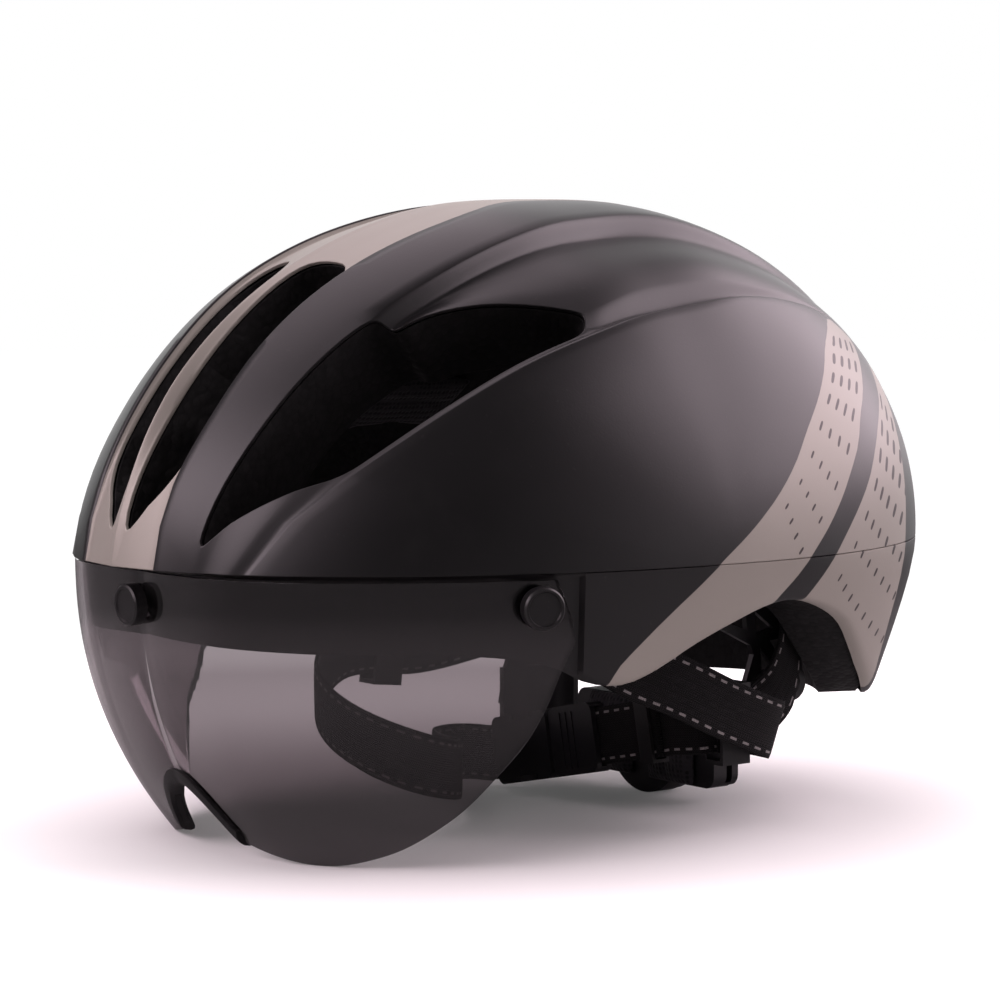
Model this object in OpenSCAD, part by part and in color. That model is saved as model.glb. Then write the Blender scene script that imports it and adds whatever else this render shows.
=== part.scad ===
// Aero road helmet with a pull-off magnetic eye shield, rear dial fit system and webbing harness.
// Lengths are millimetres. The origin lies on the ground under the middle of the helmet, +Z is up,
// the front faces -Y and the wearer's left is +X.

/* [Shell] */
// Radius of the outline at the front, in the plane of the seam
front_r = 147; // [142:1:152]
// Radius of the outline at the back, in the plane of the seam
rear_r = 138; // [133:1:143]
// Height of the crown above the seam
crown_h = 106; // [102:1:110]
// Half of the width of the shell
half_w = 103; // [100:1:106]
// Power of the cross-section, where 2 is an ellipse
section_power = 2.08; // [2:0.02:2.16]
// Height of the seam above the ground that the helmet stands on
seam_z = 85; // [85:0.5:88]
// Thickness of the painted skin
skin_t = 1.2; // [1:0.1:1.6]
// Depth of the centre strip below the two long bands
strip_depth = 2; // [1:0.2:2.6]
// Greatest depth of the side channel below the long bands
channel_depth = 4.8; // [3:0.2:5.6]

/* [Foam liner] */
// Inside radius at the forehead
cavity_front = 112; // [108:1:114]
// Inside radius at the nape
cavity_rear = 102; // [98:1:104]
// Inside height above the seam
cavity_top = 76; // [72:1:78]
// Half of the inside width
cavity_half_w = 79; // [77:1:81]
// Room between the skin and the foam
foam_gap = 0.6; // [0.5:0.05:0.7]

/* [Eye shield] */
// Thickness of the shield
lens_t = 2.2; // [1.8:0.1:2.6]
// How far the shield's middle is set back from the tip of the shell
nose_setback = 9.6; // [9:0.2:10.4]
// Diameter of a magnet cap
cap_d = 12; // [11:0.5:13]
// How far a magnet cap stands out of the shield
cap_h = 4.6; // [3.5:0.1:5]
// Diameter of the magnets
magnet_d = 8; // [6:0.5:9]
// Thickness of the rubber nose trim
trim_t = 4.2; // [3.8:0.1:4.6]

/* [Fit system] */
// Radius of the adjusting dial
dial_r = 16; // [15:0.5:17]
// Thickness of the adjusting dial
dial_t = 8; // [7:0.5:9]
// Teeth on the pinion
pinion_teeth = 10; // [10:2:12]
// Gear module of the pinion and its two racks
gear_module = 1; // [0.9:0.05:1]
// Thickness of the racks and arms
arm_t = 2; // [1.8:0.1:2.2]
// Distance of each side arm from the middle of the head
arm_x = 57; // [56:0.5:57.5]
// Radius of the open eyelet in each arm
eyelet_r = 3.2; // [2.8:0.1:3.4]
// Running clearance of the moving plastic parts
run_gap = 0.3; // [0.25:0.05:0.4]

/* [Harness] */
// Width of the webbing
web_w = 18; // [16:0.5:19]
// Thickness of the webbing
web_t = 1.4; // [1.2:0.1:1.6]
// Length of the buckle's socket half
socket_l = 28; // [26:1:30]

/* [Hidden] */

shell_color = "#2b2a2e";
foam_color = "#1c1c1e";
web_color = "#121214";
plastic_color = "#1f1f22";
lens_color = [0.25, 0.23, 0.25, 0.55];
metal_color = "silver";

// The fan axis runs across the helmet at the seam, and the outline is centred on the origin.
fan_y = (front_r - rear_r) / 2;

// Smooth curves through a few [position, value] points.
function span_of(t, a, i = 0) = i >= len(t) - 2 || a < t[i + 1][0] ? i : span_of(t, a, i + 1);
function rise(t, i) =
    let (lo = max(0, i - 1), hi = min(len(t) - 1, i + 1)) (t[hi][1] - t[lo][1]) / (t[hi][0] - t[lo][0]);
function curve(t, a) =
    let (i = span_of(t, a), w = t[i + 1][0] - t[i][0], s = min(1, max(0, (a - t[i][0]) / w)))
    t[i][1] * (2 * pow(s, 3) - 3 * s * s + 1) + t[i + 1][1] * (3 * s * s - 2 * pow(s, 3))
    + w * rise(t, i) * (pow(s, 3) - 2 * s * s + s) + w * rise(t, i + 1) * (pow(s, 3) - s * s);

// Outer form: the outline over the crown, then the cross-section.
// The table gives how much fuller than an ellipse the outline is at each angle from the front.
FULLNESS = [[0, 0], [20, -0.028], [45, -0.002], [70, 0.01], [90, 0.001], [110, 0.022], [135, 0.028],
    [160, 0.014], [180, 0]];
function ellipse_r(a, side, top) = 1 / sqrt(pow(cos(a) / side, 2) + pow(sin(a) / top, 2));
function crown_line(a) = ellipse_r(a, a < 90 ? front_r : rear_r, crown_h) * (1 + curve(FULLNESS, a));
function bulge(u) = pow(max(0, 1 - pow(abs(u), section_power)), 1 / section_power);
function shell_point(a, u, depth) =
    let (r = (crown_line(a) - depth) * bulge(u))
    [u * (half_w - depth), fan_y - r * cos(a), seam_z + r * sin(a)];
function cavity_point(a, u, depth = 0) =
    let (r = (ellipse_r(a, a < 90 ? cavity_front : cavity_rear, cavity_top) - depth) * bulge(u))
    [u * (cavity_half_w - depth), fan_y - r * cos(a), seam_z + r * sin(a)];

// Lines of the design, each as [angle from the front, distance from the middle].
RIB_EDGE = [[0, 1.9], [3, 2], [9, 3], [16, 4.4], [24, 5.5], [60, 5.5], [180, 6]];
SLOT_MIDDLE = [[0, 10], [9, 11], [45, 14], [60, 14], [90, 8], [180, 10]];
BAND_INNER = [[0, 19.2], [9, 19.4], [19, 21.4], [30, 22.4], [46, 25], [62, 25.5], [71, 22.7],
    [76, 19], [84, 14], [100, 12], [180, 14]];
BAND_OUTER = [[0, 31.2], [7, 34.4], [16, 37.9], [25, 40.9], [40, 45.8], [50, 47], [61, 46],
    [72, 43.2], [86, 37.4], [103, 31.5], [118, 32.5], [135, 33], [160, 32], [180, 31]];
WALL_FOOT = [[0, 36], [10, 42.5], [25, 46.5], [47, 50.6], [68, 48.9], [81, 45.6], [93, 42.7],
    [107, 42], [140, 42], [180, 40]];
VENT_EDGE = [[0, 42], [10, 52], [25, 57], [36, 53.5], [39, 53], [44, 54.8], [51, 60.2], [57, 66],
    [62.5, 70.8], [67, 73], [74, 72], [82, 70], [100, 67], [117, 65.5], [129, 61.5], [150, 54], [180, 48]];
CREASE = [[0, 47.8], [5, 53.2], [13, 62.8], [22, 70.2], [33, 75.5], [46, 78.4], [63, 79.4],
    [83, 77.5], [104, 74.2], [125, 67.3], [140, 59], [160, 54], [180, 52]];
LINES = [[[0, 0], [180, 0]], RIB_EDGE, SLOT_MIDDLE, BAND_INNER, BAND_INNER, BAND_INNER, BAND_OUTER,
    WALL_FOOT, VENT_EDGE, CREASE, CREASE];
// Depth of each line below the smooth form, as a share of the strip's or the channel's depth.
STRIP_SHARE = [[0, 0.3], [6, 0.6], [20, 1], [62, 1], [76, 0.5], [88, 0], [180, 0]];
FOOT_SHARE = [[0, 0.1], [20, 0.5], [40, 0.95], [60, 1], [90, 0.95], [105, 0.9], [120, 0.75], [135, 0.45],
    [150, 0.15], [165, 0], [180, 0]];
// How far the crest of the middle rib stands proud of the crown's line.
KEEL = [[0, 0], [9, 0.2], [16, 1.6], [22, 2.1], [28, 1.6], [36, 0.5], [46, -0.5], [60, -0.7], [76, -0.4], [90, 0], [180, 0]];
RIDGE_SHARE = [[0, 0], [30, 0.35], [50, 0.62], [66, 0.5], [82, 0.38], [117, 0.2], [135, 0.05], [150, 0],
    [180, 0]];
GROOVE_SHARE = [[0, 0.06], [14, 0.25], [40, 0.32], [62, 0.5], [72, 0.72], [90, 0.68], [110, 0.45],
    [130, 0.15], [145, 0], [180, 0]];
RIB = 1;
STRIP_EDGE = 3;
BAND_MIDDLE = 5;
BAND_EDGE = 6;
FOOT = 7;
RIDGE = 8;
GROOVE = 9;
FOLD = 10;
PANEL = [0.16, 0.36, 0.54, 0.7, 0.86];
POLE = FOLD + len(PANEL) + 1;
wall_run = 1.1;
groove_run = 1.6;
function line_at(k, a) =
    k == STRIP_EDGE ? curve(BAND_INNER, a) - wall_run
    : k == BAND_MIDDLE ? (curve(BAND_INNER, a) + curve(BAND_OUTER, a)) / 2
    : k == GROOVE ? curve(CREASE, a) - groove_run
    : curve(LINES[k], a);
function column_u(i, a) =
    let (k = abs(i), side = i < 0 ? -1 : 1)
    k == POLE ? side
    : k <= FOLD ? side * line_at(k, a) / half_w
    : let (c = curve(CREASE, a) / half_w, s = PANEL[k - FOLD - 1]) side * (1 - (1 - c) * pow(1 - s, 2));
function recess(i, a) =
    let (k = abs(i))
    k == 0 ? -curve(KEEL, a)
    : k == RIB ? strip_depth * 0.55 * curve(STRIP_SHARE, a)
    : k <= STRIP_EDGE ? strip_depth * curve(STRIP_SHARE, a)
    : k == FOOT ? channel_depth * curve(FOOT_SHARE, a)
    : k == RIDGE ? channel_depth * curve(RIDGE_SHARE, a)
    : k == GROOVE ? channel_depth * curve(GROOVE_SHARE, a)
    : 0;

// Rows of the crown, in degrees from the front. The lower lip of the openings slants, so that row has
// an angle of its own on each line, and the side openings end in a slanted row as well.
LIP = [3.4, 3.4, 8.8, 10.2, 9.8, 6, 2.6, 7, 10.4, 13.4, 13.8, 12.6, 11.6, 10.8, 10, 10, 10];
ROWS = [0, 0, 0, 20, 26, 32, 38.7, 45.5, 51, 57, 64, 71, 79, 87, 95, 104, 113, 122, 131, 140, 148, 157,
    166, 173, 180];
LIP_ROW = 1;
CORNER_ROW = 6;
SLOT_TOP_ROW = 7;
VENT_END_ROW = 10;
PORT_LOW_ROW = 22;
PORT_TOP_ROW = 20;
crown_rows = len(ROWS);
function row_angle(i, j) =
    let (k = abs(i))
    j == LIP_ROW ? LIP[k]
    : j == LIP_ROW + 1 ? (LIP[k] + ROWS[LIP_ROW + 2]) / 2
    : j == VENT_END_ROW && k == RIDGE ? 66
    : j == VENT_END_ROW && k >= GROOVE ? 62.5
    : ROWS[j];

// Cells that are open: two slots beside the rib, two side vents and two exhaust ports at the back.
function is_open(c, j) =
    (c >= RIB && c < STRIP_EDGE && j >= LIP_ROW && j < SLOT_TOP_ROW)
    || (c >= BAND_EDGE && c < RIDGE && j >= LIP_ROW && j < CORNER_ROW)
    || (c == RIDGE && j >= LIP_ROW && j < VENT_END_ROW)
    || (c == BAND_EDGE && j >= PORT_TOP_ROW && j < PORT_LOW_ROW);

// The lower edge of the helmet: its drop below the seam against the angle round from the front.
RIM_DROP = [[0, 20], [25, 21.5], [45, 22.5], [56, 26], [62, 31.5], [68, 33], [74, 30], [82, 23], [90, 17.5],
    [98, 13.2], [105, 12.6], [112, 15.5],
    [119, 21], [126, 30], [135, 39.5], [148, 49.5], [160, 51], [180, 50]];
// How far the wall leans inwards for each millimetre that it drops.
LEAN = [[0, 0.12], [90, 0.15], [118, 0.22], [134, 0.33], [180, 0.38]];
// How far down the tail's wall stays upright before it leans.
UPRIGHT = [[0, 0], [100, 0], [132, 9], [180, 9]];
function leaning_part(drop, turn) =
    let (late = curve(UPRIGHT, turn))
    late < 0.1 ? drop : drop - late * (1 - exp(-drop / late));
function lean_in(drop, turn) = leaning_part(drop, turn) * curve(LEAN, turn);
function round_angle(p) = atan2(abs(p[0]), fan_y - p[1]);
function lowered(p, drop, inset) =
    let (r = norm([p[0], p[1] - fan_y]), k = 1 - (inset + lean_in(drop, round_angle(p))) / r)
    [p[0] * k, fan_y + (p[1] - fan_y) * k, seam_z - drop];

// A sheet between two grids of points, with walls round its edge and round its openings.
// solid(c, r) says whether the cell between column c and c + 1 and row r and r + 1 is there, and
// key(i, j) gives the grid place of a point, so that points that coincide can share one place.
module sheet_solid(outer, inner, solid = function (c, r) true, key = function (i, j) [i, j],
    free_sides = true) {
    nc = len(outer);
    nr = len(outer[0]);
    last_c = nc - 1;
    last_r = nr - 1;
    place = function (layer, i, j) let (p = key(i, j)) layer * nc * nr + p[0] * nr + p[1];
    there = function (c, r) c >= 0 && c < last_c && r >= 0 && r < last_r && solid(c, r);
    four = function (a, b, c, d)
        [for (t = [[a, b, c], [a, c, d]]) if (t[0] != t[1] && t[1] != t[2] && t[2] != t[0]) t];
    skins = [for (c = [0:last_c - 1], r = [0:last_r - 1]) if (there(c, r))
        each concat(
            four(place(0, c, r), place(0, c, r + 1), place(0, c + 1, r + 1), place(0, c + 1, r)),
            four(place(1, c, r), place(1, c + 1, r), place(1, c + 1, r + 1), place(1, c, r + 1)))];
    level_walls = [for (c = [0:last_c - 1], r = [0:last_r]) if (there(c, r) != there(c, r - 1))
        each there(c, r)
            ? four(place(0, c, r), place(0, c + 1, r), place(1, c + 1, r), place(1, c, r))
            : four(place(0, c + 1, r), place(0, c, r), place(1, c, r), place(1, c + 1, r))];
    side_walls = [for (c = [0:last_c], r = [0:last_r - 1])
        if ((free_sides || (c > 0 && c < last_c)) && there(c, r) != there(c - 1, r))
        each there(c, r)
            ? four(place(0, c, r + 1), place(0, c, r), place(1, c, r), place(1, c, r + 1))
            : four(place(0, c, r), place(0, c, r + 1), place(1, c, r + 1), place(1, c, r))];
    polyhedron(points = concat([for (col = outer) each col], [for (col = inner) each col]),
        faces = concat(skins, level_walls, side_walls), convexity = 8);
}

// Crown grid with skirt rows before and after it. Row 0 is the front rim, the last row the rear rim.
skirt_rows = 3;
full_rows = crown_rows + 2 * skirt_rows;
crown_key = function (i, j)
    (i > 0 && i < 2 * POLE) ? [i, j]
    : j < skirt_rows ? [i, j]
    : j < skirt_rows + crown_rows ? [i, skirt_rows]
    : [i, 2 * skirt_rows + crown_rows - 1 - j];
crown_cell = function (c, r)
    let (k = c >= POLE ? c - POLE : POLE - 1 - c) !is_open(k, r - skirt_rows);
function in_crown(r) = r >= skirt_rows && r < skirt_rows + crown_rows - 1;

module upper_shell() {
    grid = function (depth) [for (i = [-POLE:POLE]) [for (j = [0:full_rows - 1])
        let (row = min(crown_rows - 1, max(0, j - skirt_rows)), a = row_angle(i, row), u = column_u(i, a))
        shell_point(a, u, depth + recess(i, a))]];
    color(shell_color)
        sheet_solid(grid(0), grid(skin_t), function (c, r) in_crown(r) && crown_cell(c, r), crown_key, false);
}

// The foam follows the skin's recesses outside and the head inside, and all vents pass through it.
module foam_liner() {
    gap = skin_t + foam_gap;
    outline = function (i, j) let (a = row_angle(i, j), u = column_u(i, a))
        shell_point(a, u, gap + recess(i, a));
    inside = function (i, j) let (a = row_angle(i, j), u = column_u(i, a)) cavity_point(a, u);
    over_ledge = 0.4;
    grid = function (layer) [for (i = [-POLE:POLE]) [for (j = [0:full_rows - 1])
        let (row = min(crown_rows - 1, max(0, j - skirt_rows)),
            under = j < skirt_rows ? skirt_rows - j
                : j >= skirt_rows + crown_rows ? j - skirt_rows - crown_rows + 1 : 0,
            seat = shell_point(row_angle(i, row), column_u(i, row_angle(i, row)), 0),
            turn = round_angle(seat), stepped = turn < LENS_END + 5,
            share = under == 1 && stepped ? 0 : under / skirt_rows,
            drop = share * curve(RIM_DROP, turn) - (share == 0 && stepped ? over_ledge : 0))
        layer == 0
            ? (under == 0 ? outline(i, row) + [0, 0, stepped && (row == 0 || row == crown_rows - 1) ? over_ledge : 0]
                : lowered(low_line(turn, seat), drop, gap + (stepped ? lens_room : 0)))
            : (under == 0 ? inside(i, row)
                : let (d = under / skirt_rows * curve(RIM_DROP, turn))
                    lowered(inside(i, row), d, 0.02 * d - lean_in(d, turn)))]];
    color(foam_color) sheet_solid(grid(0), grid(1), crown_cell, crown_key, false);
}

// The lower shell meets the upper one at the seam. At the front it steps back under a thin ledge, which
// leaves room for the shield.
lens_room = lens_t / 2 + 0.6;
ledge_t = 1.2;
LENS_END = 60.6;
// The shield's middle surface follows the shell's outline, set back in front, and curls in downwards.
SET_BACK = [[0, 1], [8, 0.73], [16, 0.29], [24, 0.07], [32, 0.02], [60, 0], [180, 0]];
LENS_CURL = [[0, 0.3], [30, 0.313], [60, 0.278], [90, 0.27]];
CURL_POWER = 2.29;
function lens_point(turn, drop, out = 0) =
    let (edge = plan_point(turn), r = (norm([edge[0], edge[1] - fan_y]) - nose_setback * curve(SET_BACK, abs(turn)))
        * (1 - curve(LENS_CURL, abs(turn)) * pow(max(0, drop) / 100, CURL_POWER)) + out)
    [r * sin(turn), fan_y - r * cos(turn), seam_z - drop];
function plan_point(turn) =
    let (front = abs(turn) < 90, s = abs(sin(turn)) / half_w, c = abs(cos(turn)) / (front ? front_r : rear_r),
        r = pow(pow(s, section_power) + pow(c, section_power), -1 / section_power))
    [r * sin(turn), fan_y - r * cos(turn), seam_z];
function low_line(turn, seat) =
    turn > LENS_END + 3 ? seat
    : let (k = min(1, max(0, (LENS_END + 3 - turn) / 3)), q = lens_point(turn, 0))
    [for (n = [0:2]) seat[n] * (1 - k) + (seat[0] < 0 && n == 0 ? -q[n] : q[n]) * k];

SHELL_TURNS = [0, 4, 8, 12, 16, 20, 26, 34, 42, 50, 57, LENS_END, LENS_END + 0.8, 66, 72, 78, 84, 91, 98,
    105, 112, 119, 126, 133, 140, 147, 154, 160.5, 167, 173.5, 180];
function both_ways(t) = concat([for (n = [len(t) - 1:-1:1]) -t[n]], t);
module lower_shell() {
    turns = both_ways(SHELL_TURNS);
    last = len(turns) - 1;
    wall_rows = 4;
    grid = function (depth) [for (turn = turns) [for (j = [0:wall_rows + 1])
        let (w = abs(turn), top = plan_point(turn), behind = w <= LENS_END,
            low = behind ? lens_point(turn, 0) : top,
            inset = (behind ? lens_room : 0) + depth,
            under_ledge = depth > 0 ? 0.1 : ledge_t,
            drop = curve(RIM_DROP, w) * (j - 1) / wall_rows)
        j == 0 ? lowered(top, 0.1 + depth / 4, 0.3 + depth)
        : j == 1 ? lowered(low, behind ? under_ledge : 0.3 + depth / 4, inset)
        : lowered(low, drop, inset)]];
    color(shell_color) difference() {
        sheet_solid(grid(skin_t), grid(0), key = function (i, j) i == last ? [0, j] : [i, j], free_sides = false);
        for (place = CAP_PLACES) on_lens(place) translate([0, 0, -lens_room - magnet_reach])
            cylinder(d = magnet_d + 2 * magnet_fit, h = magnet_reach, $fn = 40);
    }
}

// Eye shield: its lower edge has two cheek lobes and a notch for the nose.
LENS_TOP = 1.6;
LENS_TOP_END = 56.8;
LOBE_DROP = [[0, 62.9], [1.3, 63.6], [3.3, 67], [5.1, 71.8], [6.9, 77.8], [7.8, 79.6], [10, 81.3],
    [14, 83.3], [19, 84.8], [24, 84.6], [29, 82.4], [34, 78.9], [39, 73.4], [44, 66.2], [49, 56.1],
    [53.2, 46.2], [56, 36], [58.1, 26], [60.6, 19.4]];
NOSE_TURNS = [0, 1.3, 2.3, 3.3, 4.2, 5.1, 6, 6.9, 7.8];
LENS_TURNS = concat(NOSE_TURNS, [9, 11, 14, 17, 20.5, 24, 27.5, 31, 34.5, 38, 41, 44, 47, 50, 53.2, 56, 58.3,
    60.6]);
lens_rows = 8;
function lens_grid_point(turn, share, out) =
    let (w = abs(turn), drop = LENS_TOP + share * (curve(LOBE_DROP, w) - LENS_TOP),
        wide = (LENS_TOP_END + (LENS_END - LENS_TOP_END) * min(1, drop / 19.4)) / LENS_END)
    lens_point(turn * wide, drop, out);
module lens() {
    turns = both_ways(LENS_TURNS);
    grid = function (out) [for (turn = turns) [for (j = [0:lens_rows])
        lens_grid_point(turn, 1 - j / lens_rows, out)]];
    color(lens_color) difference() {
        sheet_solid(grid(lens_t / 2), grid(-lens_t / 2));
        for (place = CAP_PLACES) on_lens(place)
            cylinder(d = magnet_d + 2 * magnet_fit, h = 12, center = true, $fn = 40);
    }
}

// The magnet caps: one over the nose and one near each rear edge, as [angle, drop].
CAP_PLACES = [[0, 11], [54.4, 9], [-54.4, 9]];
function unit(v) = v / norm(v);
module on_lens(place) {
    middle = lens_point(place[0], place[1]);
    across = lens_point(place[0] + 1, place[1]) - lens_point(place[0] - 1, place[1]);
    down = lens_point(place[0], place[1] + 1) - lens_point(place[0], place[1] - 1);
    out = unit(cross(down, across));
    translate(middle) rotate([0, acos(out[2]), atan2(out[1], out[0])]) children();
}
magnet_fit = 0.1;
magnet_reach = 4;
magnet_t = 1.1;
cap_seat = lens_t / 2 + 0.6;
cap_edge = 0.5;
module magnet_cap(place) {
    face_r = cap_d / 2 - 1.1;
    stem_r = magnet_d / 2;
    stem_low = -lens_t / 2 + magnet_t + magnet_fit;
    top = lens_t / 2 + cap_h;
    color(plastic_color) on_lens(place) rotate_extrude($fn = 48) polygon([
        [0, stem_low], [stem_r, stem_low], [stem_r, cap_seat], [cap_d / 2, cap_seat],
        [cap_d / 2, top - cap_edge], [cap_d / 2 - cap_edge, top], [face_r, top],
        [face_r - 0.3, top - cap_edge], [0, top - cap_edge]]);
}
module cap_front() magnet_cap(CAP_PLACES[0]);
module cap_left() magnet_cap(CAP_PLACES[1]);
module cap_right() magnet_cap(CAP_PLACES[2]);
// Magnets: one set in the shield's bores under the caps, one set in the bores of the lower shell.
module lens_magnets() color(metal_color) for (place = CAP_PLACES) on_lens(place)
    translate([0, 0, -lens_t / 2]) cylinder(d = magnet_d, h = magnet_t, $fn = 40);
module shell_magnets() color(metal_color) for (place = CAP_PLACES) on_lens(place)
    translate([0, 0, -shell_magnet_depth(place) - skin_t / 2])
        cylinder(d = magnet_d, h = magnet_t, center = true, $fn = 40);
// Distance from the shield's middle surface to the lower shell's face behind it.
function shell_magnet_depth(place) =
    norm(lowered(lens_point(place[0], 0), place[1], lens_room) - lens_point(place[0], place[1]));

// Rubber trim that grips the edge of the nose notch, in the form of an upturned V.
trim_lip = 1.1;
trim_grip = 2.4;
trim_fit = 0.35;
function trim_point(turn, into, out) =
    let (w = abs(turn), step = 0.05, mm_per_degree = (front_r - nose_setback) * PI / 180,
        m = w < 2 * step ? 0
            : (curve(LOBE_DROP, w + step) - curve(LOBE_DROP, w - step)) / (2 * step * mm_per_degree),
        slope = sqrt(1 + m * m))
    lens_point(turn + sign(turn) * into * m / slope / mm_per_degree, curve(LOBE_DROP, w) - into / slope, out);
module trim_sheet(low, high, t, past_end = 0) {
    last = NOSE_TURNS[len(NOSE_TURNS) - 1];
    leaf = function (out) [for (turn = both_ways(NOSE_TURNS)) [for (k = [0:2])
        trim_point(turn + (abs(turn) == last ? sign(turn) * past_end : 0),
            low + (high - low) * k / 2, out)]];
    sheet_solid(leaf(t / 2), leaf(-t / 2));
}
module nose_trim() color("#0d0d0e") difference() {
    trim_sheet(-trim_lip, trim_grip, trim_t);
    trim_sheet(-0.45, trim_grip + 1, lens_t + 2 * trim_fit, 0.5);
}

// Crowned fit pads on the inside of the foam. Their faces follow the cavity.
pad_t = 6;
pad_edge = 1.2;
function rounded(s) = pow(max(0, 1 - pow(abs(2 * s - 1), 2.6)), 0.5);
function crown_of(s, t) = rounded(s) * rounded(t);
module cavity_pad(place, nc, nr, seat) {
    grid = function (top) [for (i = [0:nc]) [for (j = [0:nr])
        place(i / nc, j / nr, seat + (top ? pad_edge + (pad_t - pad_edge) * crown_of(i / nc, j / nr) : 0))]];
    color("#161618") sheet_solid(grid(false), grid(true));
}
module brow_pad() cavity_pad(function (s, t, depth)
    let (turn = (s - 0.5) * 96, half = 11 - 3 * pow(2 * s - 1, 2), r = inside_outline(turn) - depth)
    [r * sin(turn), fan_y - r * cos(turn), seam_z - 8 + half * (2 * t - 1)], 14, 4, 1.1);
function inside_outline(turn) =
    let (s = abs(sin(turn)) / cavity_half_w,
        c = abs(cos(turn)) / (abs(turn) < 90 ? cavity_front : cavity_rear))
    pow(pow(s, section_power) + pow(c, section_power), -1 / section_power);
module crown_pad() cavity_pad(function (s, t, depth)
    cavity_point(72 + 56 * t, (s - 0.5) * (0.36 - 0.1 * pow(2 * t - 1, 2)), depth), 4, 8, 0.8);
module side_pad(side) cavity_pad(function (s, t, depth)
    let (p = cavity_point(62 + 56 * t, 0.74 + 0.16 * s, depth)) [side * p[0], p[1], p[2]], 4, 7, 0.8);
module side_pad_left() side_pad(1);
module side_pad_right() mirror([1, 0, 0]) side_pad(1);

// Fit system: a dial at the nape turns a pinion, which draws two racked arms together.
pitch_r = gear_module * pinion_teeth / 2;
pod_r = dial_r + 2;
pod_z = pod_r;
pod_back = 51.5;
pod_front = fan_y + pod_back;
wall = 1.6;
hanger_y = pod_front + wall + run_gap;
hanger_t = 1.6;
hanger_w = 14;
rack_y = hanger_y + hanger_t + run_gap + wall + run_gap;
cover_y = rack_y + arm_t + run_gap;
cover_t = 2.6;
dial_y = cover_y + cover_t + run_gap;
rack_h = 5;
tooth_tip = 0.8 * gear_module;
tooth_root = 1.1 * gear_module;
sleeve_half = 34;
sleeve_h = 2 * (pitch_r + tooth_root + rack_h + run_gap + wall);
post_r = 2.4;
// Turned so that a flat drawing in X and Z gets its thickness along Y, from y upwards.
module upright(y, t) translate([0, y + t, 0]) rotate([90, 0, 0]) linear_extrude(t) children();

module pod_outline(grow = 0) {
    translate([0, pod_z]) circle(r = pod_r + grow, $fn = 90);
    translate([0, pod_z]) square([2 * (sleeve_half + grow - 4), sleeve_h + 2 * grow], center = true);
    translate([0, pod_z]) square([2 * (sleeve_half + grow), sleeve_h + 2 * grow - 8], center = true);
    for (sx = [-1, 1], sz = [-1, 1]) translate([sx * (sleeve_half - 4), pod_z + sz * (sleeve_h / 2 - 4)])
        circle(r = 4 + grow, $fn = 32);
}
module cradle_housing() color(plastic_color) difference() {
    upright(pod_front, cover_y - pod_front) pod_outline();
    // channel of the racks, open at both ends and towards the cover
    translate([-sleeve_half - 1, rack_y - run_gap, pod_z - sleeve_h / 2 + wall])
        cube([2 * sleeve_half + 2, arm_t + 3 * run_gap, sleeve_h - 2 * wall]);
    // channel of the hanger, open upwards
    translate([-hanger_w / 2 - run_gap, hanger_y - run_gap, 4])
        cube([hanger_w + 2 * run_gap, hanger_t + 2 * run_gap, 2 * pod_z]);
    for (sx = [-1, 1]) upright(pod_front - 1, 20)
        translate([sx * (pod_r + 4), pod_z]) circle(r = 1.2, $fn = 24);
}
module cradle_cover() color(plastic_color) difference() {
    upright(cover_y, cover_t) pod_outline(-0.3);
    upright(cover_y - 1, cover_t + 2) translate([0, pod_z]) circle(r = post_r + 0.05, $fn = 40);
    for (n = [0:5]) upright(cover_y + cover_t - 0.6, 1) for (sx = [-1, 1])
        translate([sx * (sleeve_half - 4 - 2.4 * n), pod_z]) square([1, sleeve_h - 10], center = true);
}
// Pinion with its post, which runs through the cover into the dial.
tooth_half = 0.56 * gear_module;
module pinion_outline() {
    circle(r = pitch_r - tooth_root, $fn = 40);
    for (n = [0:pinion_teeth - 1]) rotate((n + 0.5) * 360 / pinion_teeth)
        polygon([[-1.35 * tooth_half, pitch_r - tooth_root - 0.3], [-tooth_half, pitch_r],
            [-0.45 * tooth_half, pitch_r + tooth_tip], [0.45 * tooth_half, pitch_r + tooth_tip],
            [tooth_half, pitch_r], [1.35 * tooth_half, pitch_r - tooth_root - 0.3]]);
}
module dial_pinion() color("#3a3a3e") difference() {
    union() {
        upright(rack_y, arm_t) translate([0, pod_z]) pinion_outline();
        upright(rack_y + arm_t - 0.01, dial_y + 3 - rack_y - arm_t) translate([0, pod_z])
            circle(r = post_r, $fn = 40);
    }
    upright(rack_y + arm_t, 20) translate([0, pod_z]) circle(r = 0.9, $fn = 24);
}
grip_count = 28;
module dial_knob() color("#17171a") difference() {
    union() {
        upright(dial_y, dial_t - 2) translate([0, pod_z]) circle(r = dial_r, $fn = 90);
        translate([0, dial_y + dial_t - 2, pod_z]) rotate([-90, 0, 0])
            cylinder(r1 = dial_r - 0.6, r2 = dial_r - 2.6, h = 2, $fn = 90);
    }
    for (n = [0:grip_count - 1]) upright(dial_y - 1, dial_t + 2) translate([0, pod_z])
        rotate(n * 360 / grip_count) translate([dial_r + 0.3, 0]) circle(r = 1, $fn = 13);
    upright(dial_y - 1, 4.2) translate([0, pod_z]) circle(r = post_r + 0.02, $fn = 40);
    upright(dial_y - 1, dial_t + 2) translate([0, pod_z]) circle(r = 1.1, $fn = 24);
    upright(dial_y + dial_t - 1.6, 3) translate([0, pod_z]) circle(r = 3.4, $fn = 40);
}
module dial_screw() color(metal_color) {
    upright(dial_y + 0.6, dial_t - 1.6 - 0.6) translate([0, pod_z]) circle(r = 0.85, $fn = 24);
    upright(dial_y + dial_t - 1.6, 1.2) translate([0, pod_z]) circle(r = 3, $fn = 40);
}

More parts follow.
